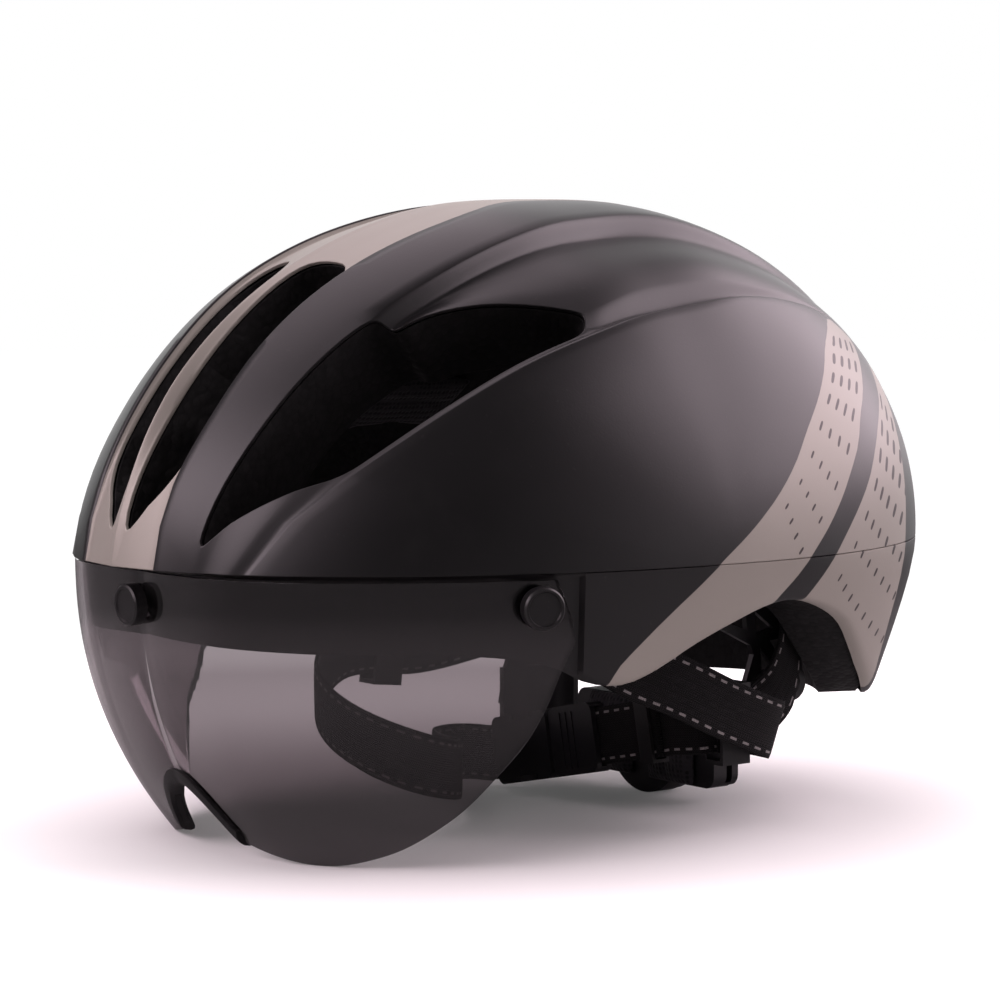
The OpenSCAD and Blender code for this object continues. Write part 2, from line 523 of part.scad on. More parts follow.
// One arm: a toothed rack, a bend round the nape and a trussed wing beside the head with an open eyelet.
bend_r = 12;
neck_x = arm_x + arm_t / 2 - bend_r;
bend_y = rack_y + arm_t / 2 - bend_r;
rack_pitch = PI * gear_module;
rack_back = 22;
module rack_outline() {
    low = pitch_r + tooth_root;
    translate([-rack_back, low]) square([rack_back + neck_x, rack_h]);
    for (n = [-6:6]) translate([n * rack_pitch, 0])
        polygon([[-1.35 * tooth_half, low + 0.1], [-tooth_half, pitch_r],
            [-0.45 * tooth_half, pitch_r - tooth_tip], [0.45 * tooth_half, pitch_r - tooth_tip],
            [tooth_half, pitch_r], [1.35 * tooth_half, low + 0.1]]);
}
// The wing's outline and cuts are counted from the fan axis, as the foam beside it is.
WING = [[-8.5, 77], [25.5, 76], [48.5, 67], [60.5, 57.6], [65.1, 51], [65.9, 43], [61.5, 37], [53.5,
    34], [49.5, 24], [37.5, 24], [39.5, 36], [45.3, 51], [44.1, 54], [31.8, 59.8], [15.5, 66], [-8.5,
    70]];
CUTS = [[[-2.5, 74.6], [8.5, 74.3], [1.5, 71.4]], [[12.5, 73.6], [24.5, 72.8], [17.5, 67.8]], [[5.9,
    70.2], [10, 72.4], [13.5, 68]], [[21.5, 66], [27.5, 70.8], [30.1, 62.8]], [[32.1, 70.4], [41.5,
    67.8], [34.1, 63.8]], [[35.5, 61.2], [41.9, 64.4], [42.5, 58.8]], [[45.7, 64.4], [53.5, 58.8],
    [46.3, 57.2]], [[51.9, 55], [57.9, 55.2], [56.1, 49.4]], [[48.1, 53], [53.5, 46.6], [48.5, 45]]];
eyelet_back = 61.7;
eyelet_y = fan_y + eyelet_back;
eyelet_z = 41;
band_top = pod_z + 18;
travel = 8.1;
neck_start = sleeve_half + travel + 1;
module arm(side) {
    band_low = pod_z + (side > 0 ? 4 : -12);
    band_h = band_top - band_low;
    color(plastic_color) mirror([side < 0 ? 1 : 0, 0, 0]) {
        translate([0, 0, pod_z]) mirror([0, 0, side < 0 ? 1 : 0]) upright(rack_y, arm_t) rack_outline();
        translate([neck_start, rack_y, band_low]) cube([neck_x - neck_start, arm_t, band_h]);
        translate([neck_x, bend_y, band_low]) rotate_extrude(angle = 90, $fn = 64)
            translate([bend_r - arm_t / 2, 0]) square([arm_t, band_h]);
        translate([arm_x, 0, 0]) rotate([90, 0, 90]) linear_extrude(arm_t) difference() {
            union() {
                translate([fan_y, 0]) polygon(WING);
                translate([bend_y - 8, band_low]) square([8.01, band_h]);
                translate([eyelet_y, eyelet_z]) circle(r = eyelet_r + 2.4, $fn = 48);
            }
            for (c = CUTS) translate([fan_y, 0]) polygon(c);
            translate([eyelet_y, eyelet_z]) circle(r = eyelet_r, $fn = 48);
            translate([bend_y + 0.01, 0]) square([30, 34]);
        }
    }
}
module arm_left() arm(1);
module arm_right() arm(-1);

// A band swept along points: each station is [point, direction of the width].
module band(stations, w, t) {
    n = len(stations) - 1;
    along = function (k) unit(stations[min(n, k + 1)][0] - stations[max(0, k - 1)][0]);
    side = function (k) let (d = along(k), v = stations[k][1]) unit(v - d * (v * d));
    rim = function (out) [for (s = [-0.5, 0.5]) [for (k = [0:n])
        stations[k][0] + side(k) * w * s + cross(along(k), side(k)) * t * out]];
    sheet_solid(rim(-0.5), rim(0.5));
}
function blend_at(p, k, s) =
    let (n = len(p) - 1, a = p[max(0, k - 1)], b = p[k], c = p[k + 1], d = p[min(n, k + 2)])
    0.5 * (2 * b + (c - a) * s + (2 * a - 5 * b + 4 * c - d) * s * s + (3 * b - a - 3 * c + d) * pow(s, 3));
function smooth_stations(st, steps) =
    let (p = [for (q = st) q[0]], v = [for (q = st) q[1]], n = len(st) - 1)
    [for (k = [0:n - 1], m = [0:steps - (k == n - 1 ? 0 : 1)])
        [blend_at(p, k, m / steps), unit(v[k] * (1 - m / steps) + v[k + 1] * m / steps)]];
module webbing(st, steps = 3) color(web_color) band(smooth_stations(st, steps), web_w, web_t);

// The hanger carries the cradle from a block in the foam.
anchor_block = 1.9;
hanger_run = fan_y + cavity_rear - anchor_block - 1.7 - hanger_y - hanger_t;
HANGER = [[0, 12], [0, 32], [0, 40], [0.008, 44], [0.1, 54], [0.46, 67], [1, 75]];
hanger_path = [for (h = HANGER) [[0, h[0] * hanger_run + hanger_y + hanger_t / 2, h[1]], [1, 0, 0]]];
module cradle_hanger() color(plastic_color) band(smooth_stations(hanger_path, 3), hanger_w, hanger_t);
module hanger_anchor() {
    tip = hanger_path[len(hanger_path) - 1][0];
    color("#26262a") translate([-hanger_w / 2 - 3, tip[1] + 0.4, tip[2] - 6])
        cube([hanger_w + 6, anchor_block, 12]);
}
module nape_pad() color("#161618") for (side = [-1, 1]) translate([side * 15, 0, pod_z])
    sheet_solid(
        [for (i = [0:4]) [for (j = [0:4])
            [(i - 2) * 5.6, pod_front - 0.35 - 1 - 4 * crown_of(i / 4, j / 4), (j - 2) * 6.5]]],
        [for (i = [0:4]) [for (j = [0:4]) [(i - 2) * 5.6, pod_front - 0.35, (j - 2) * 6.5]]]);

// Harness: webbing from four anchors meets in a divider on each side and runs on to the buckle.
// In each divider the plies lie side by side: front strap outside, rear strap, then chin strap.
ply = web_t + 0.5;
UP = [0, 0, 1];
// The harness hangs from the foam, so the y of each station is counted from the fan axis.
function hung(stations) = [for (st = stations) [st[0] + [0, fan_y, 0], st[1]]];
// Distance of the middle ply of each divider from the middle of the head.
left_x = 67;
right_x = 70;
// The straps' upper ends lie this far inside the widest and the rearmost line of the foam.
front_top_x = cavity_half_w - 8;
rear_top_x = cavity_half_w - 20.4;
rear_top_y = cavity_rear - 37.9;
// The left front strap folds back round its lower end before it enters its divider.
LEFT_DIVIDER = [left_x + 0.1, 26.9, 32.6];
RIGHT_DIVIDER = [-right_x, -2.5, 45];
FOLD_UP = [0, 0.4, 1];
LEFT_FRONT = hung([[[front_top_x, -38.5, 73], UP], [[front_top_x + 0.8, -29.5, 62], UP],
    [[74.2, -16.5, 53.4], UP], [[77.2, -0.5, 46.6], UP], [[79, 15.5, 39], FOLD_UP], [[79.6, 28.5, 33.6], FOLD_UP],
    [[78.4, 35.5, 31.2], FOLD_UP], [[75.6, 38.5, 30.4], FOLD_UP], [[71.8, 36.7, 31], FOLD_UP],
    [[left_x + ply, 32.9, 32], UP], [[left_x + ply, 29.5, 32.4], UP], [[left_x + ply, 23.5, 32.6], UP]]);
LEFT_REAR = hung([[[rear_top_x, rear_top_y, 73], [0.58, -0.8, 0.05]],
    [[rear_top_x + 4.3, rear_top_y - 6.8, 61], [0.26, -0.58, 0.76]], [[65, 54, 50], [0.12, -0.34, 0.93]],
    [[66.6, 48.5, 41], [0.02, -0.2, 0.98]], [[left_x, 40.5, 35.6], UP], [[left_x, 33.5, 33], UP],
    [[left_x, 29.5, 32.6], UP], [[left_x, 23.5, 32.6], UP]]);
RIGHT_FRONT = hung([[[-front_top_x, -38.5, 73], UP], [[-front_top_x - 0.4, -29.5, 62], UP],
    [[-right_x - ply, -19.5, 53], UP], [[-right_x - ply, -10.5, 46.4], UP], [[-right_x - ply, -0.5, 45], UP]]);
RIGHT_REAR = hung([[[-rear_top_x, rear_top_y, 73], [-0.58, -0.8, 0.05]],
    [[-rear_top_x - 4.3, rear_top_y - 7.2, 61], [-0.26, -0.58, 0.76]], [[-66, 48.9, 51.6], [-0.06, -0.24, 0.97]],
    [[-69, 31.5, 46.6], UP], [[-right_x, 11.5, 44], UP], [[-right_x, -4.5, 45.1], UP]]);
module strap_front_left() webbing(LEFT_FRONT);
module strap_rear_left() webbing(LEFT_REAR);
module strap_front_right() webbing(RIGHT_FRONT);
module strap_rear_right() webbing(RIGHT_REAR);
anchor_r = 6;
anchor_t = 1.6;
anchor_gap = 0.85;
// A disc that holds the end of a strap against the inside of the foam, square to the strap.
module anchor_disc(st) {
    from = st[0][0];
    along = unit(st[1][0] - from);
    face = unit(cross(st[0][1], along));
    out = face * (face * [from[0], from[1] - fan_y, 0] > 0 ? 1 : -1);
    at = from + along * anchor_r - out * (web_t / 2 + anchor_gap + anchor_t);
    translate(at) rotate([0, acos(out[2]), atan2(out[1], out[0])])
        cylinder(r = anchor_r, h = anchor_t, $fn = 40);
}
module strap_anchors() color("#26262a")
    for (st = [LEFT_FRONT, LEFT_REAR, RIGHT_FRONT, RIGHT_REAR]) anchor_disc(st);
divider_l = 11;
divider_wall = 1.3;
divider_room = 1.1;
module divider(at, tilt) color(plastic_color) translate(at + [0, fan_y, 0]) rotate([tilt, 0, 0]) difference() {
    cube([2 * ply + web_t + 2 * divider_wall + divider_room, divider_l, web_w + 2 * divider_wall + 4],
        center = true);
    cube([2 * ply + web_t + divider_room, divider_l + 1, web_w + 4], center = true);
}
module divider_left() divider(LEFT_DIVIDER, 0);
module divider_right() divider(RIGHT_DIVIDER, -6);

// The chin straps run on edge to the buckle, which lies on edge in the middle of the opening.
// The left one is doubled there: the ply that is sewn to the insert moves with it along the other ply.
buckle_back = 15.5;
buckle_y = fan_y + buckle_back;
buckle_z = 19.6;
buckle_tilt = 12;
function on_line(x, dy = 0) = [x * cos(buckle_tilt), buckle_back + dy, buckle_z + x * sin(buckle_tilt)];
LINE_UP = [-sin(buckle_tilt), 0, cos(buckle_tilt)];
insert_l = 22;
socket_h = web_w + 4;
socket_t = 8;
CHIN_LEFT = hung([[[left_x - ply, 35.5, 32.6], UP], [[left_x - ply, 29.5, 32.6], UP],
    [[left_x - ply, 22.1, 32.6], UP], [[63, buckle_back + ply + 1.4, 32.2], UP],
    [on_line(54, ply + 0.1), LINE_UP], [on_line(48, ply), LINE_UP], [on_line(40, ply), LINE_UP]]);
CHIN_RIGHT = hung([[[-right_x + ply, 2.5, 44.5], UP], [[-right_x + ply, -9.5, 45.8], UP], [[-64.6, -23.5, 45], UP],
    [[-52, -40.5, 40], UP], [[-36, -52.5, 36], UP], [[-17, -58.5, 31], UP], [[2, -57.5, 26], UP],
    [[12, -47.5, 21], UP], [[8, -32.5, 17], UP], [[-8, -17.5, 14], UP], [[-30, -8.5, 12.4], UP],
    [[-43, -1.5, 12], UP], [[-46.6, 7.5, 12], UP], [[-42, 14.1, 12], LINE_UP],
    [on_line(-35), LINE_UP], [on_line(2 - socket_l), LINE_UP]]);
BUCKLE_PLY = hung([[on_line(insert_l - 1.4), LINE_UP], [on_line(50), LINE_UP]]);
module chin_strap_left() webbing(CHIN_LEFT);
module buckle_strap() webbing(BUCKLE_PLY, 1);
module chin_strap_right() webbing(CHIN_RIGHT);

// Side-release buckle. The insert's two prongs and its middle tongue slide into the socket along X.
insert_reach = 15.5;
insert_t = 6;
tongue_t = 2.4;
tongue_h = 3.2;
prong_h = 3;
prong_z = 6.4;
catch_l = 6;
catch_out = 0.9;
corner_r = 3;
module rounded_plate(x0, x1, h) translate([0, buckle_z]) {
    translate([x0, corner_r - h / 2]) square([x1 - x0, h - 2 * corner_r]);
    translate([x0 + corner_r, -h / 2]) square([x1 - x0 - 2 * corner_r, h]);
    for (x = [x0 + corner_r, x1 - corner_r], z = [-1, 1]) translate([x, z * (h / 2 - corner_r)])
        circle(r = corner_r, $fn = 32);
}
module in_line() translate([0, 0, buckle_z]) rotate([0, -buckle_tilt, 0]) translate([0, 0, -buckle_z])
    children();
module slab(t) upright(buckle_y - t / 2, t) children();
module buckle_socket() color(plastic_color) in_line() difference() {
    inside_h = 2 * (prong_z + catch_out + prong_h / 2 + run_gap);
    slab(socket_t) rounded_plate(-socket_l, 0, socket_h);
    // slot at the back for the strap
    slab(web_t + 1) translate([-socket_l - 1, buckle_z - web_w / 2 - 0.5]) square([6, web_w + 1]);
    // room for the prongs and the tongue
    slab(tongue_t + 2 * run_gap) translate([-insert_reach - 1.5, buckle_z - inside_h / 2])
        square([insert_reach + 3, inside_h]);
    // finger openings of the two catches
    for (side = [-1, 1]) slab(socket_t + 1)
        translate([-insert_reach - 1, buckle_z + side * (socket_h / 2 + 1) - 3]) square([catch_l + 3, 6]);
}
module buckle_insert() color(plastic_color) in_line() difference() {
    union() {
        slab(insert_t) rounded_plate(run_gap, insert_l, web_w + 4);
        slab(tongue_t) {
            for (side = [-1, 1]) translate([-insert_reach, buckle_z + side * prong_z - prong_h / 2])
                square([insert_reach + 3, prong_h]);
            for (side = [-1, 1]) translate([-insert_reach, buckle_z + side * (prong_z + catch_out) - prong_h / 2])
                square([catch_l, prong_h]);
            translate([3 - insert_reach, buckle_z - tongue_h / 2]) square([insert_reach, tongue_h]);
        }
    }
    slab(web_t + 0.8) translate([insert_l - 3, buckle_z - web_w / 2 - 0.4]) square([4, web_w + 0.8]);
    for (n = [0:2]) upright(buckle_y - insert_t / 2 - 0.1, 0.5) translate([6 + 3 * n, buckle_z - web_w / 2])
        square([1.2, web_w]);
}
// Elastic loop round both plies of the left chin strap.
keeper_x = 45;
keeper_l = 6;
keeper_wall = 1;
module strap_keeper() color("#1a1a1c") in_line() translate([keeper_x, buckle_y + ply / 2, buckle_z])
difference() {
    room = [keeper_l + 1, ply + web_t + 1.2, web_w + 1.2];
    cube([keeper_l, room[1] + 2 * keeper_wall, room[2] + 2 * keeper_wall], center = true);
    cube(room, center = true);
}

upper_shell();
lower_shell();
foam_liner();
lens();
nose_trim();
cap_front();
cap_left();
cap_right();
lens_magnets();
shell_magnets();
brow_pad();
crown_pad();
side_pad_left();
side_pad_right();
cradle_housing();
cradle_cover();
cradle_hanger();
hanger_anchor();
nape_pad();
dial_knob();
dial_pinion();
dial_screw();
arm_left();
arm_right();
strap_front_left();
strap_rear_left();
strap_front_right();
strap_rear_right();
strap_anchors();
divider_left();
divider_right();
chin_strap_left();
chin_strap_right();
buckle_strap();
buckle_socket();
buckle_insert();
strap_keeper();
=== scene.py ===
import math

import bmesh
import bpy
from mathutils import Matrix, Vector
from mathutils.kdtree import KDTree


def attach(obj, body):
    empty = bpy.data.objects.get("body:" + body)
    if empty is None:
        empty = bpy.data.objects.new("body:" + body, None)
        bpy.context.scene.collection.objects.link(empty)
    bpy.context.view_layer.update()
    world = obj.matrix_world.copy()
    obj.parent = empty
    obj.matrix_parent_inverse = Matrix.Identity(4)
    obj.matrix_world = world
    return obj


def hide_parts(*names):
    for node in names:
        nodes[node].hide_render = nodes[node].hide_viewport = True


# Aero road helmet, dressed for the studio. Sizes of the helmet are in millimetres; finish_piece() makes them metres.

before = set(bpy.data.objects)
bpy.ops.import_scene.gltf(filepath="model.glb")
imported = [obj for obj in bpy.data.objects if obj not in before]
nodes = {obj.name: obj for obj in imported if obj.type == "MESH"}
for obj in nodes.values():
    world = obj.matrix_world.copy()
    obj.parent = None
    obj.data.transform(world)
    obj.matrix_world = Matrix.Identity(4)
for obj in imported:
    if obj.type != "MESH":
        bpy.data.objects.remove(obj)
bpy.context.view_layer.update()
MM = 0.001
MERGE = 1e-5
PHOTO_AZIMUTH, PHOTO_ELEVATION, PHOTO_DISTANCE = 51.881, 3.627, 0.93907
PHOTO_TARGET, PHOTO_LENS, PHOTO_SHIFT = (0, 0.002516, 0.105), 108.26, (-0.01452, -0.0240)


def new_object(name, data):
    thing = bpy.data.objects.new(name, data)
    bpy.context.scene.collection.objects.link(thing)
    return thing


def make_camera():
    """The photograph's view: a long lens a little above the brow, from the wearer's front left."""
    data = bpy.data.cameras.new("photo_camera")
    camera = new_object("photo_camera", data)
    azimuth, elevation = math.radians(PHOTO_AZIMUTH), math.radians(PHOTO_ELEVATION)
    level = math.cos(elevation)
    back = Vector((math.sin(azimuth) * level, -math.cos(azimuth) * level, math.sin(elevation)))
    camera.location = Vector(PHOTO_TARGET) + back * PHOTO_DISTANCE
    camera.rotation_euler = back.to_track_quat("Z", "Y").to_euler()
    data.sensor_width = 36
    data.lens = PHOTO_LENS
    data.shift_x, data.shift_y = PHOTO_SHIFT
    data.clip_start = 0.01
    data.clip_end = 20
    bpy.context.scene.camera = camera


make_camera()


# ---- form of the helmet, the same lines as the solids have ----
FRONT_R, REAR_R, CROWN_H, HALF_W, POWER, SEAM_Z = 147.0, 138.0, 106.0, 103.0, 2.08, 85.0
SKIN_T, STRIP_DEPTH, CHANNEL_DEPTH = 1.2, 2.0, 4.8
CAVITY_FRONT, CAVITY_REAR, CAVITY_TOP, CAVITY_HALF_W, FOAM_GAP = 112.0, 102.0, 76.0, 79.0, 0.6
FAN_Y = (FRONT_R - REAR_R) / 2
LENS_T, NOSE_SETBACK, LENS_END, CURL_POWER = 2.2, 9.6, 60.6, 2.29
LENS_ROOM = LENS_T / 2 + 0.6


def curve(table, a):
    """Smooth value through a few (position, value) points."""
    i = 0
    while i < len(table) - 2 and a >= table[i + 1][0]:
        i += 1

    def rise(k):
        lo, hi = max(0, k - 1), min(len(table) - 1, k + 1)
        return (table[hi][1] - table[lo][1]) / (table[hi][0] - table[lo][0])

    w = table[i + 1][0] - table[i][0]
    s = min(1.0, max(0.0, (a - table[i][0]) / w))
    return (table[i][1] * (2 * s ** 3 - 3 * s * s + 1) + table[i + 1][1] * (3 * s * s - 2 * s ** 3)
            + w * rise(i) * (s ** 3 - 2 * s * s + s) + w * rise(i + 1) * (s ** 3 - s * s))


FULLNESS = [(0, 0), (20, -0.028), (45, -0.002), (70, 0.01), (90, 0.001), (110, 0.022), (135, 0.028), (160, 0.014),
    (180, 0)]
RIB_EDGE = [(0, 1.9), (3, 1.9), (9, 2.1), (16, 2.4), (24, 2.7), (60, 2.9), (110, 5), (180, 6)]
SLOT_MIDDLE = [(0, 10), (9, 11), (45, 14), (60, 14), (90, 8), (180, 10)]
BAND_INNER = [(0, 19.2), (9, 19.4), (19, 21.4), (30, 22.4), (46, 25), (62, 25.5), (71, 22.7), (76, 19), (84, 14),
    (100, 12), (180, 14)]
BAND_OUTER = [(0, 31.2), (7, 34.4), (16, 37.9), (25, 40.9), (40, 45.8), (50, 47), (61, 46), (72, 43.2), (86, 37.4),
    (103, 31.5), (118, 32.5), (135, 33), (160, 32), (180, 31)]
WALL_FOOT = [(0, 36), (10, 42.5), (25, 46.5), (47, 50.6), (68, 48.9), (81, 45.6), (93, 42.7), (107, 42), (140, 42),
    (180, 40)]
VENT_EDGE = [(0, 42), (10, 52), (25, 57), (36, 53.5), (39, 53), (44, 54.8), (51, 60.2), (57, 66), (62.5, 70.8),
    (67, 73), (74, 72), (82, 70), (100, 67), (117, 65.5), (129, 61.5), (150, 54), (180, 48)]
CREASE = [(0, 47.8), (5, 53.2), (13, 62.8), (22, 70.2), (33, 75.5), (46, 78.4), (63, 79.4), (83, 77.5), (104, 74.2),
    (125, 67.3), (140, 59), (160, 54), (180, 52)]
STRIP_SHARE = [(0, 0.3), (6, 0.6), (20, 1), (62, 1), (76, 0.5), (88, 0), (180, 0)]
FOOT_SHARE = [(0, 0.1), (20, 0.5), (40, 0.95), (60, 1), (90, 0.95), (105, 0.9), (120, 0.75), (135, 0.45), (150, 0.15),
    (165, 0), (180, 0)]
KEEL = [(0, 0), (9, 0.2), (16, 1.6), (22, 2.1), (28, 1.6), (36, 0.5), (46, -0.5), (60, -0.7), (76, -0.4), (90, 0),
    (180, 0)]
RIDGE_SHARE = [(0, 0), (30, 0.35), (50, 0.62), (66, 0.5), (82, 0.38), (117, 0.2), (135, 0.05), (150, 0), (180, 0)]
GROOVE_SHARE = [(0, 0.06), (14, 0.25), (40, 0.32), (62, 0.5), (72, 0.72), (90, 0.68), (110, 0.45), (130, 0.15),
    (145, 0), (180, 0)]
RIM_DROP = [(0, 20), (25, 21.5), (45, 22.5), (56, 26), (62, 31.5), (68, 33), (74, 30), (82, 23), (90, 17.5),
    (98, 13.2), (105, 12.6), (112, 15.5), (119, 21), (126, 30), (135, 39.5), (148, 49.5), (160, 51), (180, 50)]
LEAN = [(0, 0.12), (90, 0.15), (118, 0.22), (134, 0.33), (180, 0.38)]
UPRIGHT = [(0, 0), (100, 0), (132, 9), (180, 9)]
SET_BACK = [(0, 1), (8, 0.73), (16, 0.29), (24, 0.07), (32, 0.02), (60, 0), (180, 0)]
LENS_CURL = [(0, 0.3), (30, 0.313), (60, 0.278), (90, 0.27)]
LOBE_DROP = [(0, 62.9), (1.3, 63.6), (3.3, 67), (5.1, 71.8), (6.9, 77.8), (7.8, 79.6), (10, 81.3), (14, 83.3),
    (19, 84.8), (24, 84.6), (29, 82.4), (34, 78.9), (39, 73.4), (44, 66.2), (49, 56.1), (53.2, 46.2), (56, 36),
    (58.1, 26), (60.6, 19.4)]
LIP = [0.8, 0.8, 7.0, 10.2, 9.8, 5, 1.2, 6, 10.4, 13.4, 13.8, 12.6, 11.6, 10.8, 10, 10, 10]
ROWS = [0, 0, 0, 20, 26, 32, 38.7, 47.8, 52, 57, 64, 71, 79, 87, 95, 104, 113, 122, 131, 140, 148, 157, 166, 173, 180]
PANEL = [0.16, 0.36, 0.54, 0.7, 0.86]
# Lines of the design, counted from the middle of the crown outwards, and rows counted from the front seam.
MIDDLE, RIB, SLOT, STRIP_EDGE, BAND_IN, BAND_MIDDLE, BAND_EDGE, FOOT, RIDGE, GROOVE, FOLD = range(11)
POLE = FOLD + len(PANEL) + 1
LIP_ROW, CORNER_ROW, SLOT_TOP_ROW, VENT_END_ROW, PORT_TOP_ROW, PORT_LOW_ROW = 1, 6, 7, 10, 20, 22
WALL_RUN, GROOVE_RUN, RIB_SHARE = 1.1, 1.6, 0.55
VENT_END_RIDGE, VENT_END_PANEL = 66.0, 62.5


def oval(a, side, top):
    return 1 / math.sqrt((math.cos(math.radians(a)) / side) ** 2 + (math.sin(math.radians(a)) / top) ** 2)


def bulge(u):
    return max(0.0, 1 - abs(u) ** POWER) ** (1 / POWER)


def arch_point(a, x, r):
    """A point over the head, a degrees up from the front and r from the fan axis."""
    t = math.radians(a)
    return Vector((x, FAN_Y - r * math.cos(t), SEAM_Z + r * math.sin(t)))


def round_point(turn, z, r):
    """A point round the head, turn degrees from the front and r from the fan axis."""
    t = math.radians(turn)
    return Vector((r * math.sin(t), FAN_Y - r * math.cos(t), z))


def outline_r(turn, half_w, front, rear):
    t = math.radians(turn)
    s, c = abs(math.sin(t)) / half_w, abs(math.cos(t)) / (front if abs(turn) < 90 else rear)
    return (s ** POWER + c ** POWER) ** (-1 / POWER)


def shell_point(a, u, depth):
    r = (oval(a, FRONT_R if a < 90 else REAR_R, CROWN_H) * (1 + curve(FULLNESS, a)) - depth) * bulge(u)
    return arch_point(a, u * (HALF_W - depth), r)


def cavity_point(a, u, depth=0.0):
    r = (oval(a, CAVITY_FRONT if a < 90 else CAVITY_REAR, CAVITY_TOP) - depth) * bulge(u)
    return arch_point(a, u * (CAVITY_HALF_W - depth), r)


def line_at(k, a):
    if k == STRIP_EDGE:
        return curve(BAND_INNER, a) - WALL_RUN
    if k == BAND_MIDDLE:
        return (curve(BAND_INNER, a) + curve(BAND_OUTER, a)) / 2
    if k == GROOVE:
        return curve(CREASE, a) - GROOVE_RUN
    if k == MIDDLE:
        return 0.0
    table = {RIB: RIB_EDGE, SLOT: SLOT_MIDDLE, BAND_IN: BAND_INNER, BAND_EDGE: BAND_OUTER, FOOT: WALL_FOOT,
             RIDGE: VENT_EDGE, FOLD: CREASE}[k]
    return curve(table, a)


def knot_u(k, a):
    if k == POLE:
        return 1.0
    if k <= FOLD:
        return line_at(k, a) / HALF_W
    c = curve(CREASE, a) / HALF_W
    return 1 - (1 - c) * (1 - PANEL[k - FOLD - 1]) ** 2


def knot_recess(k, a):
    if k == MIDDLE:
        return -curve(KEEL, a)
    share = {RIB: RIB_SHARE, SLOT: 1.0, STRIP_EDGE: 1.0}.get(k)
    if share is not None:
        return STRIP_DEPTH * share * curve(STRIP_SHARE, a)
    table = {FOOT: FOOT_SHARE, RIDGE: RIDGE_SHARE, GROOVE: GROOVE_SHARE}.get(k)
    return CHANNEL_DEPTH * curve(table, a) if table else 0.0


def knot_row(k, j):
    if j == LIP_ROW:
        return LIP[k]
    if j == LIP_ROW + 1:
        return (LIP[k] + ROWS[LIP_ROW + 2]) / 2
    if j == VENT_END_ROW and k == RIDGE:
        return VENT_END_RIDGE
    if j == VENT_END_ROW and k >= GROOVE:
        return VENT_END_PANEL
    return ROWS[j]


def angle_at(c, j):
    k, r = int(min(POLE - 1, c)), int(min(len(ROWS) - 2, j))
    s, t = c - k, j - r
    low = knot_row(k, r) * (1 - s) + knot_row(k + 1, r) * s
    high = knot_row(k, r + 1) * (1 - s) + knot_row(k + 1, r + 1) * s
    return low * (1 - t) + high * t


def u_at(c, a):
    k = int(min(POLE - 1, c))
    s = c - k
    return knot_u(k, a) * (1 - s) + knot_u(k + 1, a) * s


def recess_at(c, a):
    k = int(min(POLE - 1, c))
    s = c - k
    s = s * s * (3 - 2 * s)
    return knot_recess(k, a) * (1 - s) + knot_recess(k + 1, a) * s


def is_closed(c, j):
    """Whether the cell is outside every slot, vent and port."""
    k, r = int(abs(c)), int(j)
    return not ((RIB <= k < STRIP_EDGE and LIP_ROW <= r < SLOT_TOP_ROW)
                or (BAND_EDGE <= k < RIDGE and LIP_ROW <= r < CORNER_ROW)
                or (k == RIDGE and LIP_ROW <= r < VENT_END_ROW)
                or (k == BAND_EDGE and PORT_TOP_ROW <= r < PORT_LOW_ROW))


def round_angle(p):
    return math.degrees(math.atan2(abs(p[0]), FAN_Y - p[1]))


def lean_in(drop, turn):
    """How far the wall has leaned inwards after a drop; the tail's wall starts upright."""
    late = curve(UPRIGHT, turn)
    if late > 0.1:
        drop -= late * (1 - math.exp(-drop / late))
    return drop * curve(LEAN, turn)


def lowered(p, drop, inset):
    r = math.hypot(p[0], p[1] - FAN_Y)
    k = 1 - (inset + lean_in(drop, round_angle(p))) / r
    return Vector((p[0] * k, FAN_Y + (p[1] - FAN_Y) * k, SEAM_Z - drop))


def plan_point(turn):
    return round_point(turn, SEAM_Z, outline_r(turn, HALF_W, FRONT_R, REAR_R))


def lens_point(turn, drop, out=0.0):
    edge = plan_point(turn)
    r = math.hypot(edge[0], edge[1] - FAN_Y) - NOSE_SETBACK * curve(SET_BACK, abs(turn))
    r = r * (1 - curve(LENS_CURL, abs(turn)) * (max(0.0, drop) / 100) ** CURL_POWER) + out
    return round_point(turn, SEAM_Z - drop, r)


def mirrored(half):
    """Places on both sides of the middle, from those on one side."""
    return [-place for place in reversed(half[1:])] + half


def spread(knots, counts):
    """Fine places along knots, with counts[n] steps in the n-th stretch."""
    places = [float(knots[0])]
    for n, count in enumerate(counts):
        step = (knots[n + 1] - knots[n]) / count
        places += [knots[n] + step * (m + 1) for m in range(count)]
    return places


